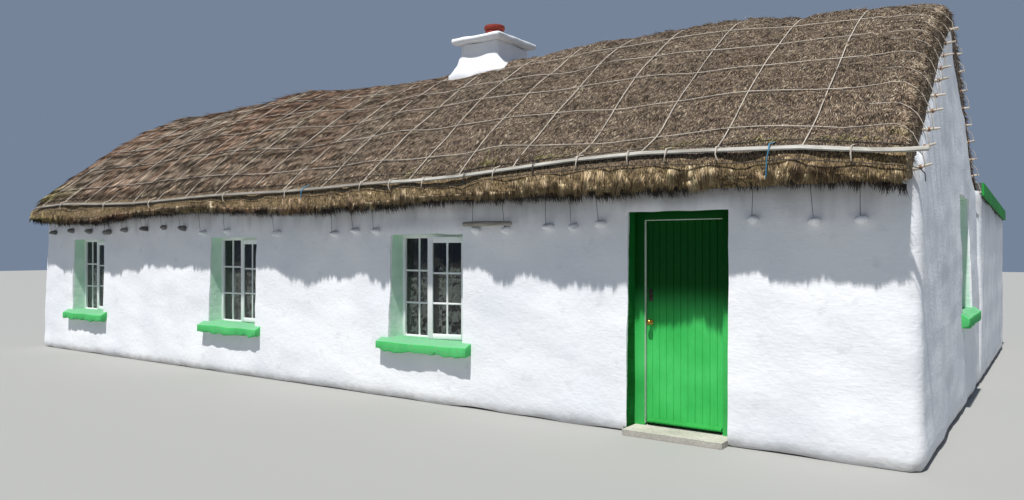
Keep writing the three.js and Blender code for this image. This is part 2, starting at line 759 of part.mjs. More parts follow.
function buildChimney() {
  const shaft = stackBlock(0, 0, [0, STACK_TOP]);
  const skirt = stackBlock(0, 0, [FLARE_BOTTOM, FLARE_TOP]);
  const position = skirt.attributes.position;
  for (let i = 0; i < position.count; i += 1) {
    if (position.getZ(i) < FLARE_TOP - 1) {
      const [x, y] = [position.getX(i), position.getY(i)];
      position.setXY(i, x + Math.sign(x - CHIMNEY_X) * FLARE[0], y + Math.sign(y) * FLARE[1]);
    }
  }
  const skirtFoot = stackBlock(FLARE[0], FLARE[1], [FLARE_FOOT, FLARE_BOTTOM]);
  place("chimney_stack", joined([shaft, skirtFoot, skirt]), COLOURS.limewash);

  const capFoot = STACK_TOP + SEAT_GAP;
  const cap = block(
    [CHIMNEY_X - CAP[0] / 2, CHIMNEY_X + CAP[0] / 2],
    [-CAP[1] / 2, CAP[1] / 2],
    [capFoot, capFoot + CAP[2]],
  );
  place("chimney_cap", cap, COLOURS.limewash);

  const pot = turned([
    [POT_BORE, 0],
    [POT_RADIUS, 0],
    [POT_RADIUS - POT_RIM, POT_HEIGHT - 3 * POT_RIM],
    [POT_RADIUS, POT_HEIGHT - 2 * POT_RIM],
    [POT_RADIUS, POT_HEIGHT],
    [POT_BORE, POT_HEIGHT],
    [POT_BORE, 0],
  ]);
  pot.rotateX(Math.PI / 2);
  pot.translate(CHIMNEY_X, 0, capFoot + CAP[2] + SEAT_GAP);
  place("chimney_pot", pot, COLOURS.terracotta);
}

// Front door

const FRAME_FACE = -HALF_DEPTH + DOOR_RECESS;
const LEAF_FACE = FRAME_FACE + DOOR_STOP_DEPTH + DOOR_CLEAR;
const LEAF_BACK = LEAF_FACE + LEAF_THICKNESS;
const LEAF_LEFT = DOOR_LEFT + DOOR_JAMB + CLOSING_CLEAR;
const LEAF_RIGHT = DOOR_RIGHT - DOOR_JAMB - DOOR_CLEAR;
const LEAF_TOP = DOOR_HEAD - DOOR_HEAD_JAMB - 2 * DOOR_CLEAR;
const HINGE_X = LEAF_RIGHT + DOOR_CLEAR / 2;
const HINGE_Y = LEAF_BACK + HINGE_RADIUS;

function doorArch(left, right, head, jamb, headJamb, depth) {
  const outer = block([left, right], depth, [THRESHOLD_TOP + SEAT_GAP, head]);
  const hole = block([left + jamb, right - jamb], [depth[0] - 1, depth[1] + 1], [0, head - headJamb]);
  return cut(outer, [hole]);
}

// A knuckle and its plate, on the frame's side of the pin (1) or on the leaf's (-1)
function hingeHalf(bottom, side) {
  const barrel = new THREE.CylinderGeometry(HINGE_RADIUS, HINGE_RADIUS, HINGE_LENGTH, HINGE_SIDES);
  barrel.rotateX(Math.PI / 2);
  barrel.translate(HINGE_X, HINGE_Y, bottom + HINGE_LENGTH / 2);
  const { reach, proud, sunk } = HINGE_PLATE;
  const plate = block(
    [HINGE_X, HINGE_X + side * reach].sort((a, b) => a - b),
    [LEAF_BACK - sunk, LEAF_BACK + proud],
    [bottom, bottom + HINGE_LENGTH],
  );
  return [barrel, plate];
}

function buildDoor() {
  const left = DOOR_LEFT + SEAT_GAP;
  const right = DOOR_RIGHT - SEAT_GAP;
  const head = DOOR_HEAD - SEAT_GAP;
  const lining = doorArch(left, right, head, DOOR_JAMB - SEAT_GAP, DOOR_HEAD_JAMB, [FRAME_FACE, LEAF_BACK]);
  const stopDepth = [FRAME_FACE, FRAME_FACE + DOOR_STOP_DEPTH];
  const stop = doorArch(left, right, head, DOOR_JAMB + DOOR_STOP, DOOR_HEAD_JAMB + DOOR_STOP, stopDepth);
  const fixed = HINGE_HEIGHTS.flatMap((height) => hingeHalf(height, 1));
  place("door_frame", joined([lining, stop, ...fixed]), COLOURS.greenPaint);

  const leaf = block([LEAF_LEFT, LEAF_RIGHT], [LEAF_FACE, LEAF_BACK], [LEAF_BOTTOM, LEAF_TOP]);
  const hung = HINGE_HEIGHTS.flatMap((height) => hingeHalf(height + HINGE_LENGTH + HINGE_GAP, -1));
  place("door_leaf", joined([leaf, ...hung]), COLOURS.greenPaint);

  const barOutline = BAR_PROFILE.map(([out, height]) => [LEAF_FACE - out, height]).reverse();
  const bar = prismX(barOutline, [LEAF_LEFT + BAR_INSET, LEAF_RIGHT - BAR_INSET]);
  place("door_weather_bar", bar, COLOURS.paleBar);

  const furnitureX = LEAF_LEFT + FURNITURE_INSET;
  const knobOuter = turned(KNOB_PROFILE);
  knobOuter.rotateX(Math.PI);
  knobOuter.translate(furnitureX, LEAF_FACE - SEAT_GAP, KNOB_HEIGHT);
  place("door_knob_outer", knobOuter, COLOURS.brass);

  const knobInner = turned(KNOB_PROFILE);
  knobInner.translate(furnitureX, LEAF_BACK + SEAT_GAP, KNOB_HEIGHT);
  place("door_knob_inner", knobInner, COLOURS.brass);

  const [width, thickness, height] = LOCK_PLATE;
  const plate = block(
    [furnitureX - width / 2, furnitureX + width / 2],
    [LEAF_FACE - SEAT_GAP - thickness, LEAF_FACE - SEAT_GAP],
    [LOCK_HEIGHT - height / 2, LOCK_HEIGHT + height / 2],
  );
  place("door_lock_plate", plate, COLOURS.darkMetal);
}

// Rear extension

function extensionRoofTop(y) {
  return EXTENSION_ROOF_TOP - (EXTENSION_FALL * (y - HALF_DEPTH)) / EXTENSION_DEPTH;
}

function slopedSlab([y0, y1], lower, upper, span) {
  return prismX(
    [
      [y0, extensionRoofTop(y0) + lower],
      [y1, extensionRoofTop(y1) + lower],
      [y1, extensionRoofTop(y1) + upper],
      [y0, extensionRoofTop(y0) + upper],
    ],
    span,
  );
}

function extensionWall([y0, y1], span) {
  const top = -EXTENSION_SLAB - SEAT_GAP;
  return prismX(
    [
      [y0, 0],
      [y1, 0],
      [y1, extensionRoofTop(y1) + top],
      [y0, extensionRoofTop(y0) + top],
    ],
    span,
  );
}

function buildExtension() {
  const front = HALF_DEPTH + SEAT_GAP;
  const rear = HALF_DEPTH + EXTENSION_DEPTH;
  const innerRear = rear - EXTENSION_WALL;
  const right = HALF_LENGTH;
  const sideSpan = [front, innerRear - SEAT_GAP];
  const rightWall = extensionWall(sideSpan, [right - EXTENSION_WALL, right]);
  place("extension_right_wall", rightWall, COLOURS.limewash);
  const leftWall = extensionWall(sideSpan, [EXTENSION_LEFT, EXTENSION_LEFT + EXTENSION_WALL]);
  place("extension_left_wall", leftWall, COLOURS.limewash);
  const rearWall = cut(extensionWall([innerRear, rear], [EXTENSION_LEFT, right]), cuttersFor("extension"));
  place("extension_rear_wall", rearWall, COLOURS.limewash);

  const floor = block(
    [EXTENSION_LEFT + EXTENSION_WALL + SEAT_GAP, right - EXTENSION_WALL - SEAT_GAP],
    [front, innerRear - SEAT_GAP],
    [0, FLOOR],
  );
  place("extension_floor", floor, COLOURS.stone);

  const roofSpan = [EXTENSION_LEFT - EXTENSION_OVERHANG, right];
  const roofRear = rear + EXTENSION_OVERHANG;
  place("extension_roof", slopedSlab([front, roofRear], -EXTENSION_SLAB, 0, roofSpan), COLOURS.felt);

  const rightBoard = [right + SEAT_GAP, right + SEAT_GAP + FASCIA];
  const leftBoard = [roofSpan[0] - SEAT_GAP - FASCIA, roofSpan[0] - SEAT_GAP];
  const boardRear = roofRear + SEAT_GAP + FASCIA;
  const fascia = joined([
    slopedSlab([front, boardRear], -FASCIA_HEIGHT, 0, rightBoard),
    slopedSlab([front, boardRear], -FASCIA_HEIGHT, 0, leftBoard),
    slopedSlab([boardRear - FASCIA, boardRear], -FASCIA_HEIGHT, 0, [leftBoard[0], rightBoard[1]]),
  ]);
  place("extension_fascia", fascia, COLOURS.greenPaint);
}

buildMasonry();
buildThatch();
buildRails();
buildChimney();
buildWindows();
buildDoor();
buildExtension();

export default house;
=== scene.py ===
"""Looks of a low limewashed cottage with a roped thatch roof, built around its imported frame.

Metres, +Z up. X runs along the front, Y back through the house, and the front faces -Y.
"""

from __future__ import annotations

import logging
import math
from dataclasses import dataclass
from enum import Enum
from typing import Callable, Sequence

import bmesh
import bpy
import numpy as np
from mathutils import Matrix, Vector


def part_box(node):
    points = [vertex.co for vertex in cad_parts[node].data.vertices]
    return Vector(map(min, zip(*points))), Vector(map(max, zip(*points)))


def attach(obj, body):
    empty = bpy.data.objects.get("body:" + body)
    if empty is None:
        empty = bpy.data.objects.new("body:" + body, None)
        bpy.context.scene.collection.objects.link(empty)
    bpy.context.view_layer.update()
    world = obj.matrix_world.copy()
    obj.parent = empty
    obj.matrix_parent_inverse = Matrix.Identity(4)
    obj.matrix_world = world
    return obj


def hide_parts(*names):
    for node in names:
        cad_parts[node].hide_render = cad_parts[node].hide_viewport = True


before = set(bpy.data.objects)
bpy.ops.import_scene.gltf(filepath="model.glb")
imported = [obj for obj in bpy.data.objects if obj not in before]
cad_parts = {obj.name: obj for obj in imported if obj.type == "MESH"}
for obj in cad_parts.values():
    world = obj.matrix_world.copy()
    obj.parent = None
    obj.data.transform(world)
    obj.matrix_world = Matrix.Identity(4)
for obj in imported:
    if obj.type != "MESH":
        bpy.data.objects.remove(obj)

LOG = logging.getLogger("cottage")
HOUSE = "house"
DOOR = "door"

Array = np.ndarray
Colour = tuple[float, float, float, float]
Point = tuple[float, float, float]
Spot = tuple[float, float]
Box = tuple[Sequence[float], Sequence[float]]
Random = np.random.Generator

# The house at the foot of its walls: half its length and depth, the height of its eaves, the slope of
# its gables, and how far the walls lean in for each metre of height.
HALF_LENGTH = 6.7
HALF_DEPTH = 2.4
EAVE = 2.12
PITCH = 0.7125
BATTER = 0.025
QUARTER = math.pi / 2


def tint(red: int, green: int, blue: int) -> Colour:
    """Turns a display colour into the linear one that shaders use.

    Args:
        red: Red from 0 to 255.
        green: Green from 0 to 255.
        blue: Blue from 0 to 255.

    Returns:
        The linear colour, opaque.
    """
    shares = [level / 255 for level in (red, green, blue)]
    linear = [s / 12.92 if s <= 0.04045 else ((s + 0.055) / 1.055) ** 2.4 for s in shares]
    return (*linear, 1.0)


def unit(vectors: Array) -> Array:
    """Vectors of length one, one row each."""
    return vectors / np.maximum(np.linalg.norm(vectors, axis=-1, keepdims=True), 1e-9)


def rise(values: Array, low: float, high: float) -> Array:
    """Smooth step from 0 at low to 1 at high."""
    share = np.clip((values - low) / (high - low), 0, 1)
    return share * share * (3 - 2 * share)


class Ripple:
    """A smooth random field with a spread of about one: sine waves in seeded directions."""

    def __init__(self, seed: int, wavelength: float, waves: int = 9) -> None:
        """Draws the waves.

        Args:
            seed: Seed of the draw.
            wavelength: Middle wavelength in metres.
            waves: How many waves are added up.
        """
        random = np.random.default_rng(seed)
        ways = unit(random.normal(size=(waves, 3)))
        pitch = wavelength * random.uniform(0.6, 1.7, waves)
        self.vectors = ways * (2 * math.pi / pitch)[:, None]
        self.phases = random.uniform(0, 2 * math.pi, waves)

    def __call__(self, points: Array) -> Array:
        """Value of the field at each point, one row each."""
        scale = math.sqrt(2 / len(self.phases))
        return np.sin(points @ self.vectors.T + self.phases).sum(axis=1) * scale


# Shaders


class Value:
    """An output of a shader node, which arithmetic extends with Math nodes."""

    def __init__(self, paint: Paint, socket: bpy.types.NodeSocket) -> None:
        """Wraps a socket of a paint's node tree."""
        self.paint = paint
        self.socket = socket

    def __add__(self, other: Value | float) -> Value:
        """Sum of two values."""
        return self.paint.maths("ADD", self, other)

    __radd__ = __add__

    def __sub__(self, other: Value | float) -> Value:
        """This value less another."""
        return self.paint.maths("SUBTRACT", self, other)

    def __rsub__(self, other: float) -> Value:
        """A number less this value."""
        return self.paint.maths("SUBTRACT", other, self)

    def __mul__(self, other: Value | float) -> Value:
        """Product of two values."""
        return self.paint.maths("MULTIPLY", self, other)

    __rmul__ = __mul__

    def __abs__(self) -> Value:
        """Size of this value."""
        return self.paint.maths("ABSOLUTE", self)

    def step(self, low: float, high: float) -> Value:
        """A smooth step.

        Args:
            low: Value where the result is 0.
            high: Value where the result is 1.

        Returns:
            The step as a value from 0 to 1.
        """
        ends = {"Value": self, "From Min": low, "From Max": high}
        return self.paint.node("MapRange", {"interpolation_type": "SMOOTHSTEP"}, ends)


class Paint:
    """The node tree of one material."""

    def __init__(self, name: str) -> None:
        """Starts an empty material with that name."""
        self.material = bpy.data.materials.new(name)
        self.material.use_nodes = True
        self.tree = self.material.node_tree
        self.tree.nodes.clear()
        self.place = self.node("TexCoord", output="Object")

    def node(
        self,
        kind: str,
        settings: dict[str, object] | None = None,
        inputs: dict[str | int, object] | None = None,
        output: str | int = 0,
    ) -> Value:
        """Adds a node.

        Args:
            kind: The node's type without its ShaderNode prefix.
            settings: Its properties; stops are the positions and colours of a ramp.
            inputs: Values or links of its sockets.
            output: The output that is wanted.

        Returns:
            That output.
        """
        made = self.tree.nodes.new(f"ShaderNode{kind}")
        for key, value in (settings or {}).items():
            if key == "stops":
                self.set_stops(made.color_ramp, value)
            else:
                setattr(made, key, value)
        for key, value in (inputs or {}).items():
            if isinstance(value, Value):
                self.tree.links.new(value.socket, made.inputs[key])
            else:
                made.inputs[key].default_value = value
        return Value(self, made.outputs[output])

    @staticmethod
    def set_stops(ramp: bpy.types.ColorRamp, stops: Sequence[tuple[float, Colour]]) -> None:
        """Sets the stops of a ramp, in order."""
        for i, (position, colour) in enumerate(stops):
            stop = ramp.elements[i] if i < len(ramp.elements) else ramp.elements.new(position)
            stop.position = position
            stop.color = colour

    def maths(self, operation: str, first: Value | float, second: Value | float = 0.0) -> Value:
        """A Math node on one or two values."""
        return self.node("Math", {"operation": operation}, {0: first, 1: second})

    def axes(self) -> tuple[Value, Value, Value]:
        """The object's own X, Y and Z."""
        sockets = self.node("SeparateXYZ", None, {0: self.place}).socket.node.outputs
        return tuple(Value(self, socket) for socket in sockets)

    def stretched(self, scale: Point, turn: Point = (0.0, 0.0, 0.0)) -> Value:
        """Object coordinates, turned and scaled.

        Args:
            scale: How much each axis is scaled.
            turn: Turn about each axis in degrees.

        Returns:
            The coordinates.
        """
        turned = self.place
        if any(turn):
            angles = tuple(math.radians(angle) for angle in turn)
            turned = self.node("Mapping", None, {"Vector": turned, "Rotation": angles})
        return self.node("Mapping", None, {"Vector": turned, "Scale": scale})

    def noise(self, scale: float, detail: float = 3.0, at: Value | None = None) -> Value:
        """Fractal noise, about 0.5 in the middle.

        Args:
            scale: Features to a metre.
            detail: How many finer layers it has.
            at: Coordinates, or none for the object's own.

        Returns:
            The noise.
        """
        inputs = {"Vector": at or self.place, "Scale": scale, "Detail": detail}
        return self.node("TexNoise", None, inputs)

    def ramp(self, by: Value, *stops: tuple[float, Colour]) -> Value:
        """A colour that runs through the stops."""
        return self.node("ValToRGB", {"stops": stops}, {"Fac": by})

    def blend(self, share: Value | float, first: Value | Colour, second: Value | Colour) -> Value:
        """Mixes two colours, the second one by its share."""
        return self.node("Mix", {"data_type": "RGBA"}, {0: share, 6: first, 7: second}, 2)

    def shaded(self, level: Value, colour: Value | Colour) -> Value:
        """A colour times a grey level."""
        grey = self.node("CombineColor", None, {0: level, 1: level, 2: level})
        settings = {"data_type": "RGBA", "blend_type": "MULTIPLY"}
        return self.node("Mix", settings, {0: 1.0, 6: colour, 7: grey}, 2)

    def attribute(self, name: str) -> Value:
        """A number that the mesh holds at its points or faces."""
        return self.node("Attribute", {"attribute_name": name}, None, "Fac")

    def relief(self, height: Value, depth: float) -> Value:
        """A normal bent by a height from 0 to 1 that stands for a depth in metres."""
        return self.node("Bump", None, {"Distance": depth, "Height": height})

    def finish(self, **inputs: object) -> bpy.types.Material:
        """Ends the tree in one shader.

        Args:
            **inputs: Values or links of the shader's sockets, with _ for a space.

        Returns:
            The material.
        """
        named = {key.replace("_", " "): value for key, value in inputs.items()}
        shader = self.node("BsdfPrincipled", None, named)
        output = self.tree.nodes.new("ShaderNodeOutputMaterial")
        self.tree.links.new(shader.socket, output.inputs["Surface"])
        return self.material


class Wall(Enum):
    """A wall that has openings: its turn in degrees and the middle of its foot's outer face."""

    FRONT = (0.0, (0.0, -HALF_DEPTH))
    GABLE = (90.0, (HALF_LENGTH, 0.0))
    REAR = (180.0, (0.0, HALF_DEPTH))
    EXTENSION = (180.0, (0.0, 6.6))

    @property
    def matrix(self) -> Matrix:
        """Places what is drawn across, inwards and up from the face, seen from outside."""
        turn, face = self.value
        return Matrix.Translation((*face, 0)) @ Matrix.Rotation(math.radians(turn), 4, "Z")


@dataclass(frozen=True)
class Opening:
    """A hole through a wall."""

    name: str
    wall: Wall
    at: float
    width: float
    foot: float
    head: float
    sill_proud: float = 0.08

    @property
    def matrix(self) -> Matrix:
        """Places what is drawn about the opening's middle."""
        return self.wall.matrix @ Matrix.Translation((self.at, 0, 0))

    def box(self, inward: float, outward: float) -> tuple[Vector, Vector]:
        """The opening's lowest and highest corners in the house.

        Args:
            inward: How far it runs in from the face.
            outward: How far it runs out from the face.

        Returns:
            The two corners.
        """
        ends = [
            self.matrix @ Vector((side * self.width / 2, depth, height))
            for side, depth, height in ((-1, -outward, self.foot), (1, inward, self.head))
        ]
        return Vector(map(min, *ends)), Vector(map(max, *ends))


LOW = {"foot": 0.65, "head": 1.8}
DOORWAY = Opening("doorway", Wall.FRONT, 4.7675, 0.937, -0.5, 1.97)
PASSAGE = Opening("passage", Wall.REAR, -4.325, 0.85, -0.5, 1.96)
WINDOWS = (
    Opening("front_window_left", Wall.FRONT, -5.21, 0.968, **LOW),
    Opening("front_window_middle", Wall.FRONT, -1.478, 1.026, **LOW),
    Opening("front_window_right", Wall.FRONT, 1.896, 1.05, **LOW),
    Opening("gable_window", Wall.GABLE, 0.94, 1.11, 0.97, 2.2, 0.055),
    Opening("rear_window_left", Wall.REAR, 1.478, 1.026, **LOW),
    Opening("rear_window_right", Wall.REAR, 5.21, 0.968, **LOW),
    Opening("extension_window", Wall.EXTENSION, -4.4, 0.94, 0.9, 1.9),
)


# Finishes


@dataclass(frozen=True)
class Finish:
    """A surface finish, made as a material when it is first used."""

    name: str
    slot: str

    def dress(self, paint: Paint) -> bpy.types.Material:
        """Builds the material in an empty node tree."""
        raise NotImplementedError

    def material(self) -> bpy.types.Material:
        """The finish as a material."""
        known = bpy.data.materials.get(f"{self.name}_finish")
        return known or self.dress(Paint(f"{self.name}_finish"))


@dataclass(frozen=True)
class Limewash(Finish):
    """Brushed white limewash over lumpy stone, with green paint inside the openings and painted shade under
    the eaves of the long walls.
    """

    painted: tuple[Opening, ...] = ()
    door: Opening | None = None
    painted_from: Spot = (0.018, 0.026)
    painted_to: Spot = (0.29, 0.30)
    overlap: float = 0.035

    def painted_area(self, paint: Paint, opening: Opening, wobble: Value) -> Value:
        """Where an opening's reveals are painted.

        Args:
            paint: The node tree.
            opening: The opening.
            wobble: Unevenness of the paint's edge in metres.

        Returns:
            1 on the reveals and 0 elsewhere.
        """
        x, y, z = paint.axes()
        across, out, middle, reach = {
            Wall.FRONT: (x, y * -1.0, opening.at, HALF_DEPTH),
            Wall.GABLE: (y, x, opening.at, HALF_LENGTH),
            Wall.REAR: (x, y, -opening.at, HALF_DEPTH),
        }[opening.wall]
        depth = reach - out - z * BATTER
        edge = (depth + wobble).step(*self.painted_from) * (1.0 - depth.step(*self.painted_to))
        sides = (opening.width / 2 + self.overlap - abs(across - middle)).step(0.0, 0.01)
        centre, half = (opening.foot + opening.head) / 2, (opening.head - opening.foot) / 2 + self.overlap
        return edge * sides * (half - abs(z - centre)).step(0.0, 0.01)

    def dress(self, paint: Paint) -> bpy.types.Material:
        """Builds the material."""
        z = paint.axes()[2]
        clouds = paint.noise(1.1, 5)
        white = paint.ramp(clouds, (0.3, tint(226, 229, 234)), (0.62, tint(240, 241, 243)))
        blots = paint.noise(6.5, 6).step(0.6, 0.76)
        white = paint.blend(blots * 0.35, white, tint(205, 208, 210))
        splash = (1.0 - (z + paint.noise(7.0, 4) * 0.16).step(0.06, 0.2)) * 0.5
        white = paint.blend(splash, white, tint(168, 160, 148))
        # Streaky grey just under the eaves of the long walls: painted shade cast by the eave.
        runs = paint.noise(1.0, 4, paint.stretched((6, 6, 1.2)))
        long_wall = abs(paint.axes()[1]).step(2.2, 2.3)
        painted_eave_shade = (z + runs * 0.5 + clouds * 0.3).step(2.26, 2.62) * long_wall
        white = paint.blend(painted_eave_shade * 0.5, white, tint(126, 126, 126))
        wobble = (paint.noise(9.0, 4) - 0.5) * 0.02
        faded = paint.noise(4.0, 5)
        pale = paint.ramp(faded, (0.35, tint(190, 226, 202)), (0.65, tint(214, 238, 222)))
        deep = paint.ramp(faded, (0.35, tint(4, 84, 26)), (0.65, tint(14, 110, 42)))
        for opening in self.painted:
            white = paint.blend(self.painted_area(paint, opening, wobble), white, pale)
        if self.door:
            white = paint.blend(self.painted_area(paint, self.door, wobble), white, deep)
        strokes = paint.noise(1.0, 5, paint.stretched((14, 14, 55)))
        lumps = paint.noise(16.0, 6)
        height = strokes * 0.3 + lumps * 0.7
        return paint.finish(
            Base_Color=white,
            Roughness=lumps * 0.2 + 0.76,
            Normal=paint.relief(height, 0.006),
            Specular_IOR_Level=0.2,
        )


@dataclass(frozen=True)
class Straw(Finish):
    """Single straws, each with a tone, a share of gold and a share of green of its own."""

    def dress(self, paint: Paint) -> bpy.types.Material:
        """Builds the material."""
        tone, gold, green = (paint.attribute(name) for name in ("tone", "gold", "green"))
        weathered = paint.ramp(
            tone,
            # The near-black first stop serves the straws under the eave, whose low tones are painted shade.
            (0.0, tint(14, 10, 8)),
            (0.12, tint(52, 41, 33)),
            (0.45, tint(104, 88, 72)),
            (0.75, tint(150, 134, 116)),
            (1.0, tint(204, 192, 172)),
        )
        fresh = paint.ramp(
            tone, (0.0, tint(64, 46, 24)), (0.45, tint(150, 124, 78)), (1.0, tint(222, 202, 152))
        )
        colour = paint.blend(gold, weathered, fresh)
        x = paint.axes()[0]
        patches = paint.noise(1.0, 4, paint.stretched((1.7, 0.6, 0.6))).step(0.44, 0.6)
        reddish = patches * (1.0 - x.step(-3.0, 3.5) * 0.75) * 0.42
        rusty = paint.ramp(tone, (0.0, tint(56, 30, 20)), (1.0, tint(176, 120, 88)))
        colour = paint.blend(reddish, colour, rusty)
        mossy = paint.ramp(tone, (0.0, tint(62, 64, 20)), (1.0, tint(190, 188, 96)))
        colour = paint.blend(green, colour, mossy)
        fibres = paint.noise(260.0, 2)
        colour = paint.shaded(fibres * 0.5 + 0.75, colour)
        return paint.finish(Base_Color=colour, Roughness=fibres * 0.2 + 0.6)


@dataclass(frozen=True)
class ThatchBed(Finish):
    """The matted straw between and under the single straws, near black at the foot of the eave as painted
    shade of its underside.
    """

    def dress(self, paint: Paint) -> bpy.types.Material:
        """Builds the material."""
        z = paint.axes()[2]
        flecks = paint.noise(1.0, 3, paint.stretched((150, 34, 34)))
        mats = paint.noise(24.0, 5)
        height = flecks * 0.75 + mats * 0.25
        colour = paint.ramp(
            height,
            (0.42, tint(40, 31, 24)),
            (0.49, tint(78, 63, 49)),
            (0.55, tint(116, 99, 80)),
            (0.63, tint(164, 147, 124)),
        )
        fringe = 1.0 - z.step(2.28, 2.42)
        golden = paint.ramp(height, (0.42, tint(70, 52, 26)), (0.6, tint(170, 144, 92)))
        colour = paint.blend(fringe * 0.6, colour, golden)
        # Near black below about 2.1 m: painted shade of the eave's underside.
        painted_underside_shade = 1.0 - z.step(2.1, 2.14)
        colour = paint.blend(painted_underside_shade, colour, tint(16, 11, 8))
        return paint.finish(
            Base_Color=colour, Roughness=mats * 0.1 + 0.85, Normal=paint.relief(height, 0.03)
        )


@dataclass(frozen=True)
class Fibre(Finish):
    """Twisted rope or wire."""

    dark: Colour
    light: Colour

    def dress(self, paint: Paint) -> bpy.types.Material:
        """Builds the material."""
        twist = paint.noise(140.0, 3)
        wear = paint.noise(5.0, 3)
        colour = paint.ramp(twist * 0.6 + wear * 0.4, (0.35, self.dark), (0.62, self.light))
        return paint.finish(
            Base_Color=colour, Roughness=twist * 0.2 + 0.65, Normal=paint.relief(twist, 0.003)
        )


@dataclass(frozen=True)
class Board(Finish):
    """Weathered timber with its grain along X."""

    dark: Colour
    light: Colour

    def dress(self, paint: Paint) -> bpy.types.Material:
        """Builds the material."""
        grain = paint.noise(1.0, 6, paint.stretched((5, 160, 160)))
        stains = paint.noise(3.0, 5)
        colour = paint.ramp(grain * 0.55 + stains * 0.45, (0.34, self.dark), (0.6, self.light))
        return paint.finish(
            Base_Color=colour, Roughness=grain * 0.3 + 0.55, Normal=paint.relief(grain, 0.003)
        )


@dataclass(frozen=True)
class GlossPaint(Finish):
    """Brushed paint, faded and chipped; it may carry a painted shade that darkens it from about 0.9 m up,
    and a painted highlight that makes its upward faces paler.
    """

    dark: Colour
    light: Colour
    chip: Colour
    chips: float = 0.0
    gloss: float = 0.4
    specular: float = 0.25
    painted_shade_colour: Colour | None = None
    topside: Colour | None = None

    def dress(self, paint: Paint) -> bpy.types.Material:
        """Builds the material."""
        brush = paint.noise(1.0, 4, paint.stretched((120, 120, 6)))
        faded = paint.noise(2.6, 5)
        colour = paint.ramp(faded * 0.7 + brush * 0.3, (0.36, self.dark), (0.62, self.light))
        # From about 0.9 m up the paint turns deeper: painted shade where the eave's shadow falls on the
        # door.
        if self.painted_shade_colour:
            colour = paint.blend(paint.axes()[2].step(0.9, 1.35), colour, self.painted_shade_colour)
        # Upward faces turn paler: a painted highlight where the light falls on top.
        if self.topside:
            colour = paint.blend(paint.attribute("topside") * 0.9, colour, self.topside)
        flakes = paint.noise(34.0, 6)
        bare = flakes.step(0.70 - 0.12 * self.chips, 0.72 - 0.12 * self.chips) * min(1.0, self.chips)
        colour = paint.blend(bare, colour, self.chip)
        height = brush * 0.3 - bare * 0.5
        return paint.finish(
            Base_Color=colour,
            Roughness=faded * 0.2 + (0.9 - self.gloss),
            Normal=paint.relief(height, 0.002),
            Specular_IOR_Level=self.specular,
        )


@dataclass(frozen=True)
class Glass(Finish):
    """Window glass, near black and three-quarters opaque: painted shade of the dim room behind it."""

    def dress(self, paint: Paint) -> bpy.types.Material:
        """Builds the material."""
        waves = paint.noise(3.0, 2)
        return paint.finish(
            # Near-black, mostly opaque glass: painted shade of the room behind it.
            Base_Color=paint.ramp(waves, (0.3, tint(8, 8, 12)), (0.7, tint(18, 18, 24))),
            Roughness=waves * 0.04 + 0.03,
            Alpha=0.74,
            Normal=paint.relief(waves, 0.01),
        )


@dataclass(frozen=True)
class Lace(Finish):
    """White lace, woven close in its pattern and open between; it glows as painted light."""

    def dress(self, paint: Paint) -> bpy.types.Material:
        """Builds the material."""
        flat = paint.stretched((1, 0.2, 1))
        petals = paint.node("TexVoronoi", {"feature": "SMOOTH_F1"}, {"Vector": flat, "Scale": 21.0})
        sprays = paint.noise(28.0, 2, flat)
        woven = (petals * 0.7 + sprays * 0.6).step(0.55, 0.66)
        hem = paint.noise(160.0, 1, flat)
        return paint.finish(
            Base_Color=paint.ramp(hem, (0.3, tint(214, 216, 214)), (0.7, tint(236, 238, 236))),
            Roughness=0.9,
            Alpha=woven * 0.88 + 0.06,
            # The lace glows: painted light for the daylight on it behind the glass.
            Emission_Color=paint.ramp(hem, (0.3, tint(150, 162, 150)), (0.7, tint(190, 204, 196))),
            Emission_Strength=2.2,
        )


@dataclass(frozen=True)
class Metal(Finish):
    """Cast or turned metal, dulled by hands and weather."""

    dark: Colour
    light: Colour
    rough: float

    def dress(self, paint: Paint) -> bpy.types.Material:
        """Builds the material."""
        tarnish = paint.noise(40.0, 5)
        return paint.finish(
            Base_Color=paint.ramp(tarnish, (0.35, self.dark), (0.65, self.light)),
            Metallic=1.0,
            Roughness=tarnish * 0.25 + self.rough,
        )


@dataclass(frozen=True)
class Mineral(Finish):
    """Stone, concrete, fired clay or mineral felt."""

    dark: Colour
    light: Colour
    grain: float
    depth: float

    def dress(self, paint: Paint) -> bpy.types.Material:
        """Builds the material."""
        grit = paint.noise(self.grain, 6)
        stains = paint.noise(2.2, 5)
        colour = paint.ramp(grit * 0.5 + stains * 0.5, (0.36, self.dark), (0.62, self.light))
        return paint.finish(
            Base_Color=colour, Roughness=grit * 0.15 + 0.8, Normal=paint.relief(grit, self.depth)
        )


LIMEWASH = Limewash("limewash", "limewash")
PAINTED_LIMEWASH = Limewash("painted_limewash", "limewash", WINDOWS[:6], DOORWAY)
STRAW = Straw("straw", "thatch")
THATCH_BED = ThatchBed("thatch_bed", "thatch")
ROPE = Fibre("pale_rope", "rope", tint(150, 140, 126), tint(206, 196, 182))
DARK_ROPE = Fibre("dark_rope", "rope", tint(30, 28, 26), tint(62, 58, 54))
BLUE_ROPE = Fibre("blue_rope", "rope", tint(40, 96, 130), tint(70, 136, 168))
WRAPPING = Fibre("reddish_cord", "rope", tint(112, 84, 68), tint(158, 122, 100))
RAIL_BOARD = Board("rail_board", "rail", tint(108, 104, 94), tint(178, 176, 168))
OLD_RAIL = Board("old_rail_pole", "rail", tint(78, 72, 64), tint(142, 136, 126))
PIN_WOOD = Board("pin_wood", "timber", tint(150, 138, 120), tint(206, 198, 184))
POLE_WOOD = Board("pole_wood", "timber", tint(112, 106, 96), tint(178, 172, 160))
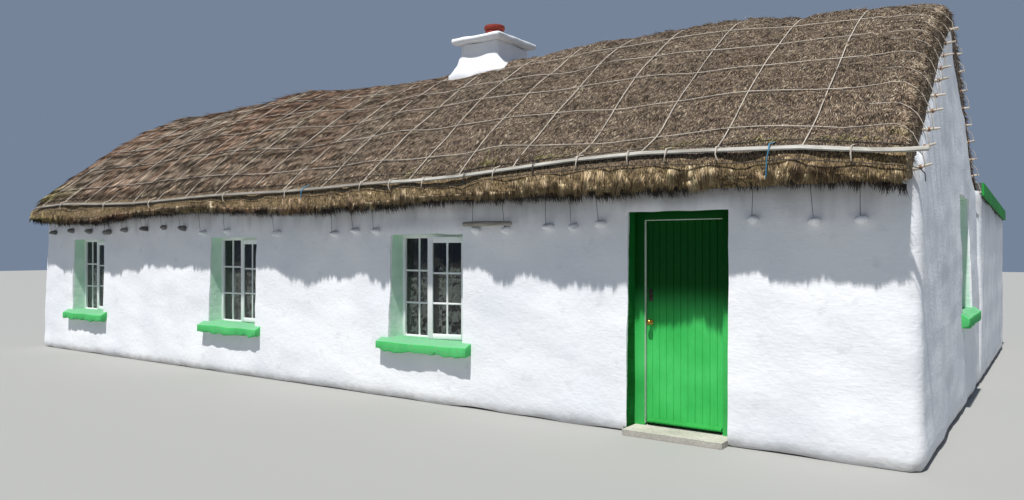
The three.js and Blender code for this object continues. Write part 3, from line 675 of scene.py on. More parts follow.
# The door's deeper colour from about 0.9 m up is painted shade of the eave.
DOOR_GREEN = GlossPaint(
    "door_green", "door_green", tint(56, 180, 84), tint(76, 202, 104), tint(120, 180, 120), 0.1, 0.45,
    specular=0.12, painted_shade_colour=tint(0, 70, 16),
)
FASCIA_GREEN = GlossPaint(
    "fascia_green", "door_green", tint(20, 128, 46), tint(40, 156, 66), tint(110, 170, 110), 0.3, 0.3
)
# The sill's paler colour for upward faces is a painted highlight.
SILL_GREEN = GlossPaint(
    "sill_green", "sill_green", tint(72, 174, 98), tint(92, 194, 116), tint(130, 142, 124), 0.6, 0.15,
    specular=0.05, topside=tint(110, 166, 128),
)
WINDOW_WHITE = GlossPaint(
    "window_white", "window_white", tint(226, 228, 228), tint(242, 243, 243), tint(200, 200, 196),
    gloss=0.6,
)
PALE_STRIP = GlossPaint(
    "pale_strip", "weather_bar", tint(178, 196, 176), tint(208, 218, 202), tint(150, 160, 146), 0.3, 0.4
)
GLASS = Glass("window_glass", "glass")
LACE = Lace("lace", "glass")
BRASS = Metal("brass", "brass", tint(150, 112, 44), tint(206, 164, 84), 0.2)
DARK_METAL = Metal("dark_metal", "dark_metal", tint(52, 48, 44), tint(86, 80, 74), 0.4)
CLAY = Mineral("fired_clay", "terracotta", tint(82, 26, 22), tint(140, 48, 30), 60.0, 0.002)
# Grey stones that stand for limewashed ones in the eave's deep shade: painted shade.
SHADE_DARKENED_STONE = Mineral("sooted_stone", "stone", tint(84, 82, 82), tint(136, 134, 132), 30.0, 0.003)
CONCRETE = Mineral("concrete", "stone", tint(150, 146, 136), tint(190, 186, 176), 50.0, 0.003)
FELT = Mineral("roof_felt", "felt", tint(74, 78, 76), tint(108, 112, 108), 220.0, 0.002)


# Making and placing pieces


def show(
    name: str,
    mesh: bpy.types.Mesh,
    finish: Finish,
    replaces: Sequence[str] = (),
    body: str = HOUSE,
    crease: float | None = 35.0,
) -> bpy.types.Object:
    """Adds a piece to the scene.

    Args:
        name: The piece's name.
        mesh: Its mesh, in its place in the house.
        finish: Its finish.
        replaces: The frame's nodes that it stands for.
        body: The body that it rides on.
        crease: Angle in degrees above which an edge stays sharp, or none for flat faces.

    Returns:
        The piece.
    """
    piece = bpy.data.objects.new(name, mesh)
    bpy.context.scene.collection.objects.link(piece)
    mesh.materials.clear()
    mesh.materials.append(finish.material())
    if crease is not None:
        mesh.shade_smooth()
        mesh.set_sharp_from_angle(angle=math.radians(crease))
    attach(piece, body)
    if replaces:
        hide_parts(*replaces)
    mesh.calc_loop_triangles()
    LOG.info("%s: %d triangles on %s", name, len(mesh.loop_triangles), body)
    return piece


def repaint(node: str, finish: Finish) -> None:
    """Gives a node of the frame a finish."""
    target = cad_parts[node]
    target.data.materials.clear()
    target.data.materials.append(finish.material())
    LOG.info("%s: node with finish %s", node, finish.name)


def to_mesh(form: bmesh.types.BMesh, name: str = "form") -> bpy.types.Mesh:
    """Ends a bmesh as a mesh."""
    mesh = bpy.data.meshes.new(name)
    form.to_mesh(mesh)
    form.free()
    return mesh


def evaluated(carrier: bpy.types.Object) -> bpy.types.Mesh:
    """The mesh that an object shows with its modifiers; the object is removed."""
    bpy.context.scene.collection.objects.link(carrier)
    graph = bpy.context.evaluated_depsgraph_get()
    mesh = bpy.data.meshes.new_from_object(carrier.evaluated_get(graph), depsgraph=graph)
    bpy.data.objects.remove(carrier)
    return mesh


def settled(mesh: bpy.types.Mesh, *steps: tuple[str, dict[str, object]]) -> bpy.types.Mesh:
    """A mesh after some modifiers.

    Args:
        mesh: The mesh.
        *steps: Each modifier's type and settings.

    Returns:
        The new mesh.
    """
    carrier = bpy.data.objects.new("carrier", mesh)
    for kind, settings in steps:
        modifier = carrier.modifiers.new(kind.title(), kind)
        for key, value in settings.items():
            setattr(modifier, key, value)
    return evaluated(carrier)


def carved(mesh: bpy.types.Mesh, tool: bpy.types.Mesh) -> bpy.types.Mesh:
    """A mesh less another one."""
    cutter = bpy.data.objects.new("cutter", tool)
    bpy.context.scene.collection.objects.link(cutter)
    bpy.context.view_layer.update()
    settings = {"object": cutter, "operation": "DIFFERENCE", "solver": "EXACT", "use_self": True}
    left = settled(mesh, ("BOOLEAN", settings))
    bpy.data.objects.remove(cutter)
    return left


def softened(mesh: bpy.types.Mesh, voxel: float, rounds: int = 3) -> bpy.types.Mesh:
    """A mesh remade in even faces, with its arrises worn round.

    Args:
        mesh: The mesh.
        voxel: Size of the faces in metres.
        rounds: How often it is smoothed.

    Returns:
        The new mesh.
    """
    return settled(
        mesh,
        ("REMESH", {"mode": "VOXEL", "voxel_size": voxel}),
        ("SMOOTH", {"factor": 0.5, "iterations": rounds}),
    )


def points_of(mesh: bpy.types.Mesh) -> Array:
    """The mesh's points, one row each."""
    flat = np.empty(len(mesh.vertices) * 3)
    mesh.vertices.foreach_get("co", flat)
    return flat.reshape(-1, 3)


def move_points(mesh: bpy.types.Mesh, points: Array) -> None:
    """Puts the mesh's points where the rows say."""
    mesh.vertices.foreach_set("co", points.ravel())
    mesh.update()


def swell(mesh: bpy.types.Mesh, amount: Callable[[Array], Array]) -> None:
    """Moves each point along its normal.

    Args:
        mesh: The mesh.
        amount: Gives the distance in metres for points, one row each.
    """
    points = points_of(mesh)
    normals = np.empty(len(points) * 3)
    mesh.vertex_normals.foreach_get("vector", normals)
    move_points(mesh, points + normals.reshape(-1, 3) * amount(points)[:, None])


def add_box(form: bmesh.types.BMesh, low: Sequence[float], high: Sequence[float]) -> None:
    """Adds a box between two corners to a bmesh."""
    made = bmesh.ops.create_cube(form, size=1.0)["verts"]
    low, high = Vector(low), Vector(high)
    bmesh.ops.scale(form, vec=high - low, verts=made)
    bmesh.ops.translate(form, vec=(low + high) / 2, verts=made)


def cut(form: bmesh.types.BMesh, place: Sequence[float], across: Sequence[float]) -> None:
    """Cuts the faces of a bmesh along a plane and keeps both sides.

    Args:
        form: The bmesh.
        place: A point of the plane.
        across: The plane's normal.
    """
    geom = [*form.verts, *form.edges, *form.faces]
    bmesh.ops.bisect_plane(form, geom=geom, plane_co=place, plane_no=across)


def bevelled(
    form: bmesh.types.BMesh,
    offset: float,
    segments: int = 2,
    edges: Sequence[bmesh.types.BMEdge] | None = None,
) -> None:
    """Rounds edges of a bmesh, or all of them.

    Args:
        form: The bmesh.
        offset: Width of the rounding in metres.
        segments: Faces across it.
        edges: The edges, or none for all.
    """
    bmesh.ops.bevel(
        form,
        geom=list(form.edges if edges is None else edges),
        offset=offset,
        segments=segments,
        profile=0.5,
        affect="EDGES",
        material=-1,
    )


def boxes(*ends: Box, soft: float = 0.0, segments: int = 2) -> bpy.types.Mesh:
    """A mesh of separate boxes, with eased arrises if they are wanted.

    Args:
        *ends: The lowest and highest corners of each box.
        soft: Width of the arrises' rounding in metres.
        segments: Faces across it.

    Returns:
        The mesh.
    """
    form = bmesh.new()
    for low, high in ends:
        add_box(form, low, high)
    if soft:
        bevelled(form, soft, segments)
    return to_mesh(form)


def turned(profile: Sequence[tuple[float, float]], sides: int) -> bpy.types.Mesh:
    """A body turned about the Z axis.

    Args:
        profile: Radius and height of each point, which form an open line between two points on
            the axis, or a closed one away from it.
        sides: Faces round the axis.

    Returns:
        Its closed mesh.
    """
    form = bmesh.new()
    verts = [form.verts.new((radius, 0, height)) for radius, height in profile]
    edges = [form.edges.new(pair) for pair in zip(verts, verts[1:])]
    if profile[0][0] > 0:
        edges.append(form.edges.new((verts[-1], verts[0])))
    bmesh.ops.spin(
        form,
        geom=verts + edges,
        cent=(0, 0, 0),
        axis=(0, 0, 1),
        angle=2 * math.pi,
        steps=sides,
        use_merge=True,
    )
    bmesh.ops.remove_doubles(form, verts=list(form.verts), dist=1e-5)
    bmesh.ops.recalc_face_normals(form, faces=list(form.faces))
    return to_mesh(form)


def joined(*parts: tuple[bpy.types.Mesh, Matrix] | bpy.types.Mesh) -> bpy.types.Mesh:
    """One mesh of several, each of which may come with its place."""
    form = bmesh.new()
    for part in parts:
        mesh, place = part if isinstance(part, tuple) else (part, Matrix())
        before = len(form.verts)
        form.from_mesh(mesh)
        form.verts.ensure_lookup_table()
        bmesh.ops.transform(form, matrix=place, verts=form.verts[before:])
    return to_mesh(form)


def placed(mesh: bpy.types.Mesh, place: Matrix) -> bpy.types.Mesh:
    """A mesh moved to its place."""
    mesh.transform(place)
    return mesh


def copies(pattern: bpy.types.Mesh, places: Array, **marks: Array) -> bpy.types.Mesh:
    """Many copies of a small mesh in one mesh.

    Args:
        pattern: The small mesh.
        places: A 4 x 4 matrix for each copy.
        **marks: Numbers that each copy carries as attributes, one for each copy.

    Returns:
        The mesh.
    """
    points = points_of(pattern)
    corners = np.empty(len(pattern.loops), np.int32)
    pattern.loops.foreach_get("vertex_index", corners)
    starts = np.empty(len(pattern.polygons), np.int32)
    pattern.polygons.foreach_get("loop_start", starts)
    number = np.arange(len(places))[:, None]
    moved = np.einsum("nij,vj->nvi", places[:, :3, :3], points) + places[:, None, :3, 3]
    mesh = bpy.data.meshes.new("copies")
    mesh.vertices.add(moved.shape[0] * moved.shape[1])
    mesh.vertices.foreach_set("co", moved.ravel())
    mesh.loops.add(len(places) * len(corners))
    mesh.loops.foreach_set("vertex_index", (corners + number * len(points)).ravel())
    mesh.polygons.add(len(places) * len(starts))
    mesh.polygons.foreach_set("loop_start", (starts + number * len(corners)).ravel())
    mesh.update(calc_edges=True)
    for name, values in marks.items():
        attribute = mesh.attributes.new(name, "FLOAT", "POINT")
        attribute.data.foreach_set("value", np.repeat(values, len(points)).astype(np.float32))
    return mesh


def tubes(paths: Sequence[Array], radius: float) -> bpy.types.Mesh:
    """Round cords that follow paths, closed at their ends.

    Args:
        paths: The points of each path, one row each.
        radius: Radius of the cords in metres.

    Returns:
        Their mesh.
    """
    curve = bpy.data.curves.new("paths", "CURVE")
    curve.dimensions = "3D"
    curve.bevel_depth = radius
    curve.bevel_resolution = 1
    curve.use_fill_caps = True
    for path in paths:
        spline = curve.splines.new("POLY")
        spline.points.add(len(path) - 1)
        spline.points.foreach_set("co", np.c_[path, np.ones(len(path))].ravel())
    mesh = evaluated(bpy.data.objects.new("cords", curve))
    form = bmesh.new()
    form.from_mesh(mesh)
    bmesh.ops.remove_doubles(form, verts=list(form.verts), dist=1e-5)
    return to_mesh(form)


# The walls


@dataclass
class Masonry:
    """The limewashed walls of the house, with their openings cut through."""

    wall: float = 0.5
    bedding: float = 0.03
    gable_rises: Spot = (0.1, 0.25)
    corners: Spot = (0.05, 0.1)
    voxel: float = 0.066
    splay: float = 0.045
    door_splay: float = 0.03
    frame_from: float = 0.1
    band_proud: float = 0.022
    band_high: float = 0.14
    band_side: float = 0.08
    bands: tuple[Opening, ...] = (WINDOWS[2], DOORWAY)
    lumps: Ripple = Ripple(3, 0.9)
    pimples: Ripple = Ripple(4, 0.25)
    trowel: Ripple = Ripple(5, 0.3)

    def shell(self) -> bpy.types.Mesh:
        """The outside of the walls up to the thatch, as one solid with a pitched top."""
        form = bmesh.new()
        top = EAVE + self.bedding
        add_box(form, (-HALF_LENGTH, -HALF_DEPTH, 0), (HALF_LENGTH, HALF_DEPTH, top))
        cut(form, (0, 0, 0), (0, 1, 0))
        for vert in form.verts:
            if vert.co.z > 0 and abs(vert.co.y) < 0.01:
                vert.co.z += PITCH * HALF_DEPTH
        for end in (-1, 1):
            cut(form, (end * (HALF_LENGTH - self.wall), 0, 0), (1, 0, 0))
        for vert in form.verts:
            lean = BATTER * vert.co.z
            at_end = abs(vert.co.x) > HALF_LENGTH - 0.01
            if at_end and vert.co.z > 1:
                vert.co.z += self.gable_rises[1 if vert.co.y > 0.1 else 0]
            vert.co.x -= math.copysign(lean, vert.co.x) if at_end else 0
            vert.co.y -= math.copysign(lean, vert.co.y) if abs(vert.co.y) > 0.01 else 0
        for end, corner in zip((-1, 1), self.corners):
            upright = [
                edge
                for edge in form.edges
                if abs(edge.verts[0].co.z - edge.verts[1].co.z) > 1
                and abs(edge.verts[0].co.y) > 1
                and edge.verts[0].co.x * end > HALF_LENGTH - 0.2
            ]
            bevelled(form, corner, 4, upright)
        return to_mesh(form)

    def room(self) -> bpy.types.Mesh:
        """The space inside the walls."""
        room = Vector((HALF_LENGTH - self.wall, HALF_DEPTH - self.wall, 0))
        return boxes((-room - Vector((0, 0, 1)), room + Vector((0, 0, 5))))

    def hole(self, opening: Opening, left: float, right: float) -> bpy.types.Mesh:
        """What an opening cuts away: its sides draw in towards the frame, a little unevenly.

        Args:
            opening: The opening.
            left: How far the left side draws in, down to the frame.
            right: How far the right side draws in.

        Returns:
            The cutting solid.
        """
        form = bmesh.new()
        half, reach = opening.width / 2, 0.16
        add_box(form, (-half, -reach, opening.foot), (half, self.wall + 0.1, opening.head))
        for depth in (0.0, 0.2):
            cut(form, (0, depth, 0), (0, 1, 0))
        for vert in form.verts:
            if vert.co.y > self.frame_from:
                vert.co.x += left if vert.co.x < 0 else -right
        bmesh.ops.transform(form, matrix=opening.matrix, verts=list(form.verts))
        finer = {"subdivision_type": "SIMPLE", "levels": 3, "render_levels": 3}
        mesh = settled(to_mesh(form), ("SUBSURF", finer))
        swell(mesh, lambda points: self.trowel(points) * 0.003)
        return mesh

    def relief(self, points: Array) -> Array:
        """How far the surface stands out: lumps of old stone and the bands over two openings."""
        amount = self.lumps(points) * 0.006 + self.pimples(points) * 0.002
        x, y, z = points.T
        for band in self.bands:
            span = rise(band.width / 2 + self.band_side - np.abs(x - band.at), 0, 0.05)
            high = rise(z, band.head, band.head + 0.03) * rise(band.head + self.band_high - z, 0, 0.03)
            amount += self.band_proud * span * high * (y < -HALF_DEPTH + 0.15)
        return amount

    def build(self) -> None:
        """Adds the walls."""
        mesh = softened(carved(self.shell(), self.room()), self.voxel, 3)
        swell(mesh, self.relief)
        points = points_of(mesh)
        points[:, 2] = np.maximum(points[:, 2], 0.0)
        move_points(mesh, points)
        holes = [self.hole(opening, self.splay, self.splay) for opening in WINDOWS[:6]]
        holes += [self.hole(DOORWAY, self.door_splay, 0.0), self.hole(PASSAGE, 0.0, 0.0)]
        mesh = carved(mesh, joined(*holes))
        fronts = ("front_wall_left", "front_wall_right", "front_wall_over_door")
        walls = (*fronts, "rear_wall", "right_gable_wall", "left_gable_wall")
        show("limewashed_walls", mesh, PAINTED_LIMEWASH, walls, crease=42)
        repaint("floor_slab", CONCRETE)
        repaint("door_threshold", CONCRETE)


@dataclass
class Extension:
    """The flat-roofed extension behind the house."""

    left: float = 2.1
    right: float = HALF_LENGTH
    near: float = 2.3
    far: float = 6.6
    wall: float = 0.3
    top: float = 2.352
    fall: float = 0.17
    voxel: float = 0.09
    lumps: Ripple = Ripple(8, 0.6)

    def build(self) -> None:
        """Adds the walls and paints the roof."""
        form = bmesh.new()
        add_box(form, (self.left, self.near, 0), (self.right, self.far, self.top))
        for vert in form.verts:
            if vert.co.z > 1 and vert.co.y > 3:
                vert.co.z -= self.fall
        wall = self.wall
        room = ((self.left + wall, self.near - 0.5, -1), (self.right - wall, self.far - wall, 5))
        window = WINDOWS[6].box(self.wall + 0.1, 0.2)
        mesh = softened(carved(to_mesh(form), boxes(room, window)), self.voxel, 2)
        swell(mesh, lambda points: self.lumps(points) * 0.005)
        walls = ("extension_right_wall", "extension_left_wall", "extension_rear_wall")
        show("extension_walls", mesh, LIMEWASH, walls, crease=None).data.shade_smooth()
        repaint("extension_floor", CONCRETE)
        repaint("extension_roof", FELT)
        repaint("extension_fascia", FASCIA_GREEN)


# The thatch


class Side(Enum):
    """A slope of the roof, and the way that it faces along Y."""

    FRONT = -1
    REAR = 1

    @property
    def row(self) -> int:
        """0 at the front and 1 at the rear, to choose one of a pair of sizes."""
        return (self.value + 1) // 2


@dataclass(frozen=True)
class Line:
    """A smooth line along the house through some points."""

    points: tuple[Spot, ...]

    def __call__(self, x: Array) -> Array:
        """Height of the line at each x."""
        xs, heights = np.array(self.points).T
        at = np.clip(np.searchsorted(xs, x, side="right") - 1, 0, len(xs) - 2)
        share = rise(x, xs[at], xs[at + 1])
        return heights[at] + (heights[at + 1] - heights[at]) * share


RIDGE_LINE = Line(
    (
        (-6.65, 4.18), (-5.2, 4.14), (-2.6, 4.25), (-0.5, 4.13), (1.8, 4.24), (3.65, 4.27), (5.2, 4.2),
        (6.0, 4.15), (6.65, 4.1),
    )
)
RAIL_LINE = Line(
    (
        (-6.65, 2.28), (-5.6, 2.33), (-3.4, 2.276), (-1.3, 2.312), (0.0, 2.302), (1.5, 2.33),
        (2.0, 2.326), (4.5, 2.43), (5.6, 2.4), (6.65, 2.312),
    )
)
EAVE_LINE = Line(
    (
        (-6.65, 2.09), (-4.6, 2.02), (-3.3, 2.1), (-2.1, 2.14), (-0.6, 2.07), (0.3, 2.04), (1.15, 2.06),
        (2.3, 2.11), (3.5, 2.1), (4.8, 2.09), (5.2, 2.13), (5.9, 2.12), (6.65, 2.06),
    )
)


@dataclass
class ThatchForm:
    """The upper surface of the thatch, which straws, ropes and rails lie on.

    A place on a slope is given by x and by the distance up the slope from the eave's lip.
    """

    half_length: float = 6.65
    verge_round: float = 0.25
    cut_from: float = 1.955
    rail_at: float = 0.328
    step: float = 0.01
    softness: float = 0.045
    lip: float = 0.085
    corner_draw: float = 0.8
    rows: tuple[Spot, ...] = (
        (-0.3, 2.07), (-0.28, 2.35), (-0.244, 2.38), (0.05, 2.63), (0.55, 3.02), (1.03, 3.37),
        (1.46, 3.67), (1.9, 3.95), (2.4, 4.21),
    )
    cut_rows: tuple[Spot, ...] = ((0.0, 2.34), (0.0, 2.53), (0.015, 2.56))
    rope_ends: Spot = (-6.1, 5.9)
    rope_bays: int = 18
    rope_grooves: Spot = (0.016, 0.01)
    groove_width: float = 0.05
    calm_to_lively: Spot = (-4.5, 1.5)
    spread_steps: int = 24
    probe: float = 0.02
    swells: Ripple = Ripple(11, 1.7)
    bumps: Ripple = Ripple(12, 0.55)
    tufts: Ripple = Ripple(13, 0.19)
    scallops: Ripple = Ripple(14, 0.6, 5)

    def __post_init__(self) -> None:
        """Works out the rows' distances up the slope and the softened shares of each row."""
        lengths = np.hypot(*np.diff(np.array(self.rows), axis=0).T)
        self.marks = np.concatenate(([0.0], np.cumsum(lengths)))
        self.top = float(self.marks[-1])
        margin = 30
        self.first = -margin * self.step
        count = int(self.top / self.step) + 2 * margin
        at = self.first + self.step * np.arange(count)
        rows = np.eye(len(self.marks))
        onward = np.array([np.interp(at, self.marks, row) for row in rows]).T
        low, high = at < 0, at > self.top
        below = at[low] / self.marks[1]
        onward[low, 0], onward[low, 1] = 1 - below, below
        mirrored = onward.copy()
        back = 2 * self.top - at[high]
        mirrored[high] = np.array([np.interp(back, self.marks, row) for row in rows]).T
        beyond = (at[high] - self.top) / lengths[-1]
        onward[high, -1], onward[high, -2] = 1 + beyond, -beyond
        spread = np.arange(-self.spread_steps, self.spread_steps + 1) * self.step / self.softness
        bell = np.exp(-0.5 * spread**2)
        bell /= bell.sum()
        self.back_shares = np.apply_along_axis(np.convolve, 0, onward, bell, "same")
        self.height_shares = np.apply_along_axis(np.convolve, 0, mirrored, bell, "same")

    @property
    def rope_xs(self) -> Array:
        """Where the ropes over the ridge lie along the house."""
        return np.linspace(*self.rope_ends, self.rope_bays + 1)

    @property
    def rope_rows(self) -> Array:
        """Distances up the slope of the ropes that run along the house."""
        return self.marks[3:8]

    def verge_drop(self, x: Array) -> Array:
        """How far the thatch curls down near its ends."""
        run = self.verge_round - np.clip(self.half_length - np.abs(x), 0, self.verge_round)
        return self.verge_round - np.sqrt(self.verge_round**2 - run**2)

    def overhang(self, x: Array) -> Array:
        """What is left of the overhang where the left corner of the eave is rounded in plan."""
        return np.where(x < 0, 1 - self.corner_draw * self.verge_drop(x) / self.verge_round, 1)

    def plain(self, x: Array, up: Array, side: Side) -> Array:
        """Points of the surface before it gets its lumps.

        Args:
            x: Distances along the house.
            up: Distances up the slope.
            side: The slope.

        Returns:
            The points, one row each.
        """
        backs, heights = (np.repeat(column[None], len(x), 0) for column in np.array(self.rows).T)
        drop = self.verge_drop(x)
        share = (heights[:, 3:] - self.rows[0][1]) / (self.rows[-1][1] - self.rows[0][1])
        sag = (RIDGE_LINE(x) - self.rows[-1][1])[:, None]
        heights[:, 3:] += share * sag - drop[:, None]
        heights[:, 1:3] += (RAIL_LINE(x) - self.rows[1][1])[:, None]
        heights[:, 0] = EAVE_LINE(x) + self.lip
        backs[:, :3] *= self.overhang(x)[:, None]
        if side is Side.REAR:
            short = x > self.cut_from
            for row, (back, height) in enumerate(self.cut_rows):
                backs[short, row] = back
                heights[short, row] = height - drop[short] * (1 if row else 0.4)
        at = (up - self.first) / self.step
        low = np.clip(at.astype(int), 0, len(self.back_shares) - 2)
        part = (at - low)[:, None]

        def soft(shares: Array, values: Array) -> Array:
            """Values between the rows."""
            return ((shares[low] * (1 - part) + shares[low + 1] * part) * values).sum(axis=1)

        back = soft(self.back_shares, backs)
        return np.c_[x, side.value * (HALF_DEPTH - back), soft(self.height_shares, heights)]

    def surface(self, x: Array, up: Array, side: Side) -> Array:
        """Points of the surface with its lumps and with the grooves that the ropes press in."""
        points = self.plain(x, up, side)
        lean = np.interp(up, [0, self.marks[1], self.marks[3], self.top], [0.05, 0.6, 0.92, 1.5])
        outward = np.c_[np.zeros(len(x)), side.value * np.cos(lean), np.sin(lean)]
        roof = rise(up, 0.3, 0.5)
        lively = 0.3 + 0.7 * rise(x, *self.calm_to_lively)
        amount = self.swells(points) * 0.014 * (0.4 + 0.6 * lively)
        amount += (self.bumps(points) * 0.008 + self.tufts(points) * 0.005) * lively
        amount += (1 - roof) * self.scallops(points * (1, 0.3, 0.3)) * 0.016
        down = np.abs(x[:, None] - self.rope_xs).min(axis=1)
        along = np.abs(up[:, None] - self.rope_rows).min(axis=1)
        gaps = (down, along)
        pressed = [
            deep * np.exp(-((gap / self.groove_width) ** 2)) for deep, gap in zip(self.rope_grooves, gaps)
        ]
        amount -= roof * np.maximum(*pressed)
        railed = 1 - rise(np.abs(up - self.rail_at + 0.02), 0.07, 0.16)
        amount -= railed * (np.maximum(amount, 0) + 0.008)
        return points + outward * amount[:, None]

    def frame(self, x: Array, up: Array, side: Side) -> tuple[Array, Array, Array, Array]:
        """The surface and its directions.

        Args:
            x: Distances along the house.
            up: Distances up the slope.
            side: The slope.

        Returns:
            Points, and unit vectors along the house, up the slope and outwards.
        """
        near = self.probe
        along = unit(self.surface(x + near, up, side) - self.surface(x - near, up, side))
        slope = unit(self.surface(x, up + near, side) - self.surface(x, up - near, side))
        outward = unit(np.cross(along, slope)) * -side.value
        return self.surface(x, up, side), along, slope, outward


@dataclass
class Thatch:
    """The thatch: a matted bed on each slope, covered in single straws."""

    form: ThatchForm
    column: float = 0.07
    section: int = 92
    under_share: float = 0.3
    end: float = 6.61
    under: tuple[Spot, ...] = ((2.4, 3.83), (0.05, 2.156), (-0.04, 2.14), (-0.09, 2.138), (-0.2, 2.13))
    cut_end: Spot = (0.03, 2.14)
    closing: float = 0.1
    chimney: Point = (1.085, 0.43, 0.42)

    def bed(self, side: Side) -> bpy.types.Mesh:
        """The closed bed of one slope."""
        form = bmesh.new()
        columns = round(2 * self.end / self.column)
        bmesh.ops.create_grid(form, x_segments=columns, y_segments=self.section, size=0.5)
        grid = to_mesh(form)
        share = points_of(grid)[:, :2] + 0.5
        x = (share[:, 0] * 2 - 1) * self.end
        outer = 1 - self.under_share
        up = np.clip(share[:, 1] / outer, 0, 1) * self.form.top
        points = self.form.surface(x, up, side)
        bends = np.array(self.under)
        steps = np.concatenate(([0.0], np.cumsum(np.hypot(*np.diff(bends, axis=0).T))))
        inner = share[:, 1] > outer
        way = (share[inner, 1] - outer) / self.under_share * (steps[-1] + self.closing)
        back = np.interp(way, steps, bends[:, 0])
        back = np.where(back < 0, back * self.form.overhang(x[inner]), back)
        height = np.interp(way, steps, bends[:, 1])
        lip = self.form.surface(x[inner], np.zeros(inner.sum()), side)
        close = rise(way, steps[-1], steps[-1] + self.closing)
        y = side.value * (HALF_DEPTH - back)
        if side is Side.REAR:
            short = x[inner] > self.form.cut_from
            y[short] = np.minimum(y[short], HALF_DEPTH - self.cut_end[0])
            height[short] = np.maximum(height[short], self.cut_end[1])
        points[inner, 1] = y + (lip[:, 1] - y) * close
        points[inner, 2] = height + (lip[:, 2] - height) * close
        move_points(grid, points)
        form = bmesh.new()
        form.from_mesh(grid)
        bmesh.ops.remove_doubles(form, verts=list(form.verts), dist=1e-4)
        open_edges = [edge for edge in form.edges if edge.is_boundary]
        caps = bmesh.ops.holes_fill(form, edges=open_edges, sides=0)["faces"]
        bmesh.ops.triangulate(form, faces=caps)
        bmesh.ops.recalc_face_normals(form, faces=list(form.faces))
        return to_mesh(form)

    def clear_of_chimney(self, points: Array) -> Array:
        """Which points stand outside the chimney's foot."""
        x, half_x, half_y = self.chimney
        return (np.abs(points[:, 0] - x) > half_x) | (np.abs(points[:, 1]) > half_y)

    def build(self) -> None:
        """Adds both slopes."""
        for side in Side:
            way = side.name.lower()
            show(f"thatch_bed_{way}", self.bed(side), THATCH_BED, [f"thatch_{way}_slope"], crease=60)
        for field in self.fields():
            field.build(self)

    def fields(self) -> tuple[StrawField, ...]:
        """The areas of straw, from the eave to the ridge and at both verges."""
        top = self.form.top
        slope = {"up": (0.34, top - 0.01)}
        return (
            StrawField("front_straws_right", Side.FRONT, 46500, 21, **slope, x=(0.0, 6.6), radius=0.0042),
            StrawField("front_straws_left", Side.FRONT, 34000, 20, **slope, x=(-6.6, 0.0), radius=0.0042),
            StrawField("rear_straws", Side.REAR, 15000, 22, **slope, radius=0.0085, length=0.1),
            EaveField("front_eave_straws", Side.FRONT, 39000, 23, up=(0.0, 0.34), radius=0.0038),
            EaveField("rear_eave_straws", Side.REAR, 7000, 24, up=(0.0, 0.34), radius=0.0075),
            UnderField("eave_underside_straws", Side.FRONT, 9500, 25, up=(0.0, 0.05)),
            UnderField("rear_underside_straws", Side.REAR, 3000, 26, up=(0.0, 0.05), x=(-6.58, 1.94)),
            VergeField("front_verge_straws", Side.FRONT, 8500, 27, up=(0.2, top), radius=0.0042),
            VergeField("rear_verge_straws", Side.REAR, 4500, 28, up=(0.2, top)),
            RidgeField("ridge_straws", Side.FRONT, 4000, 29, up=(top - 0.12, top)),
        )


Ways = tuple[Array, Array, Array, Array]


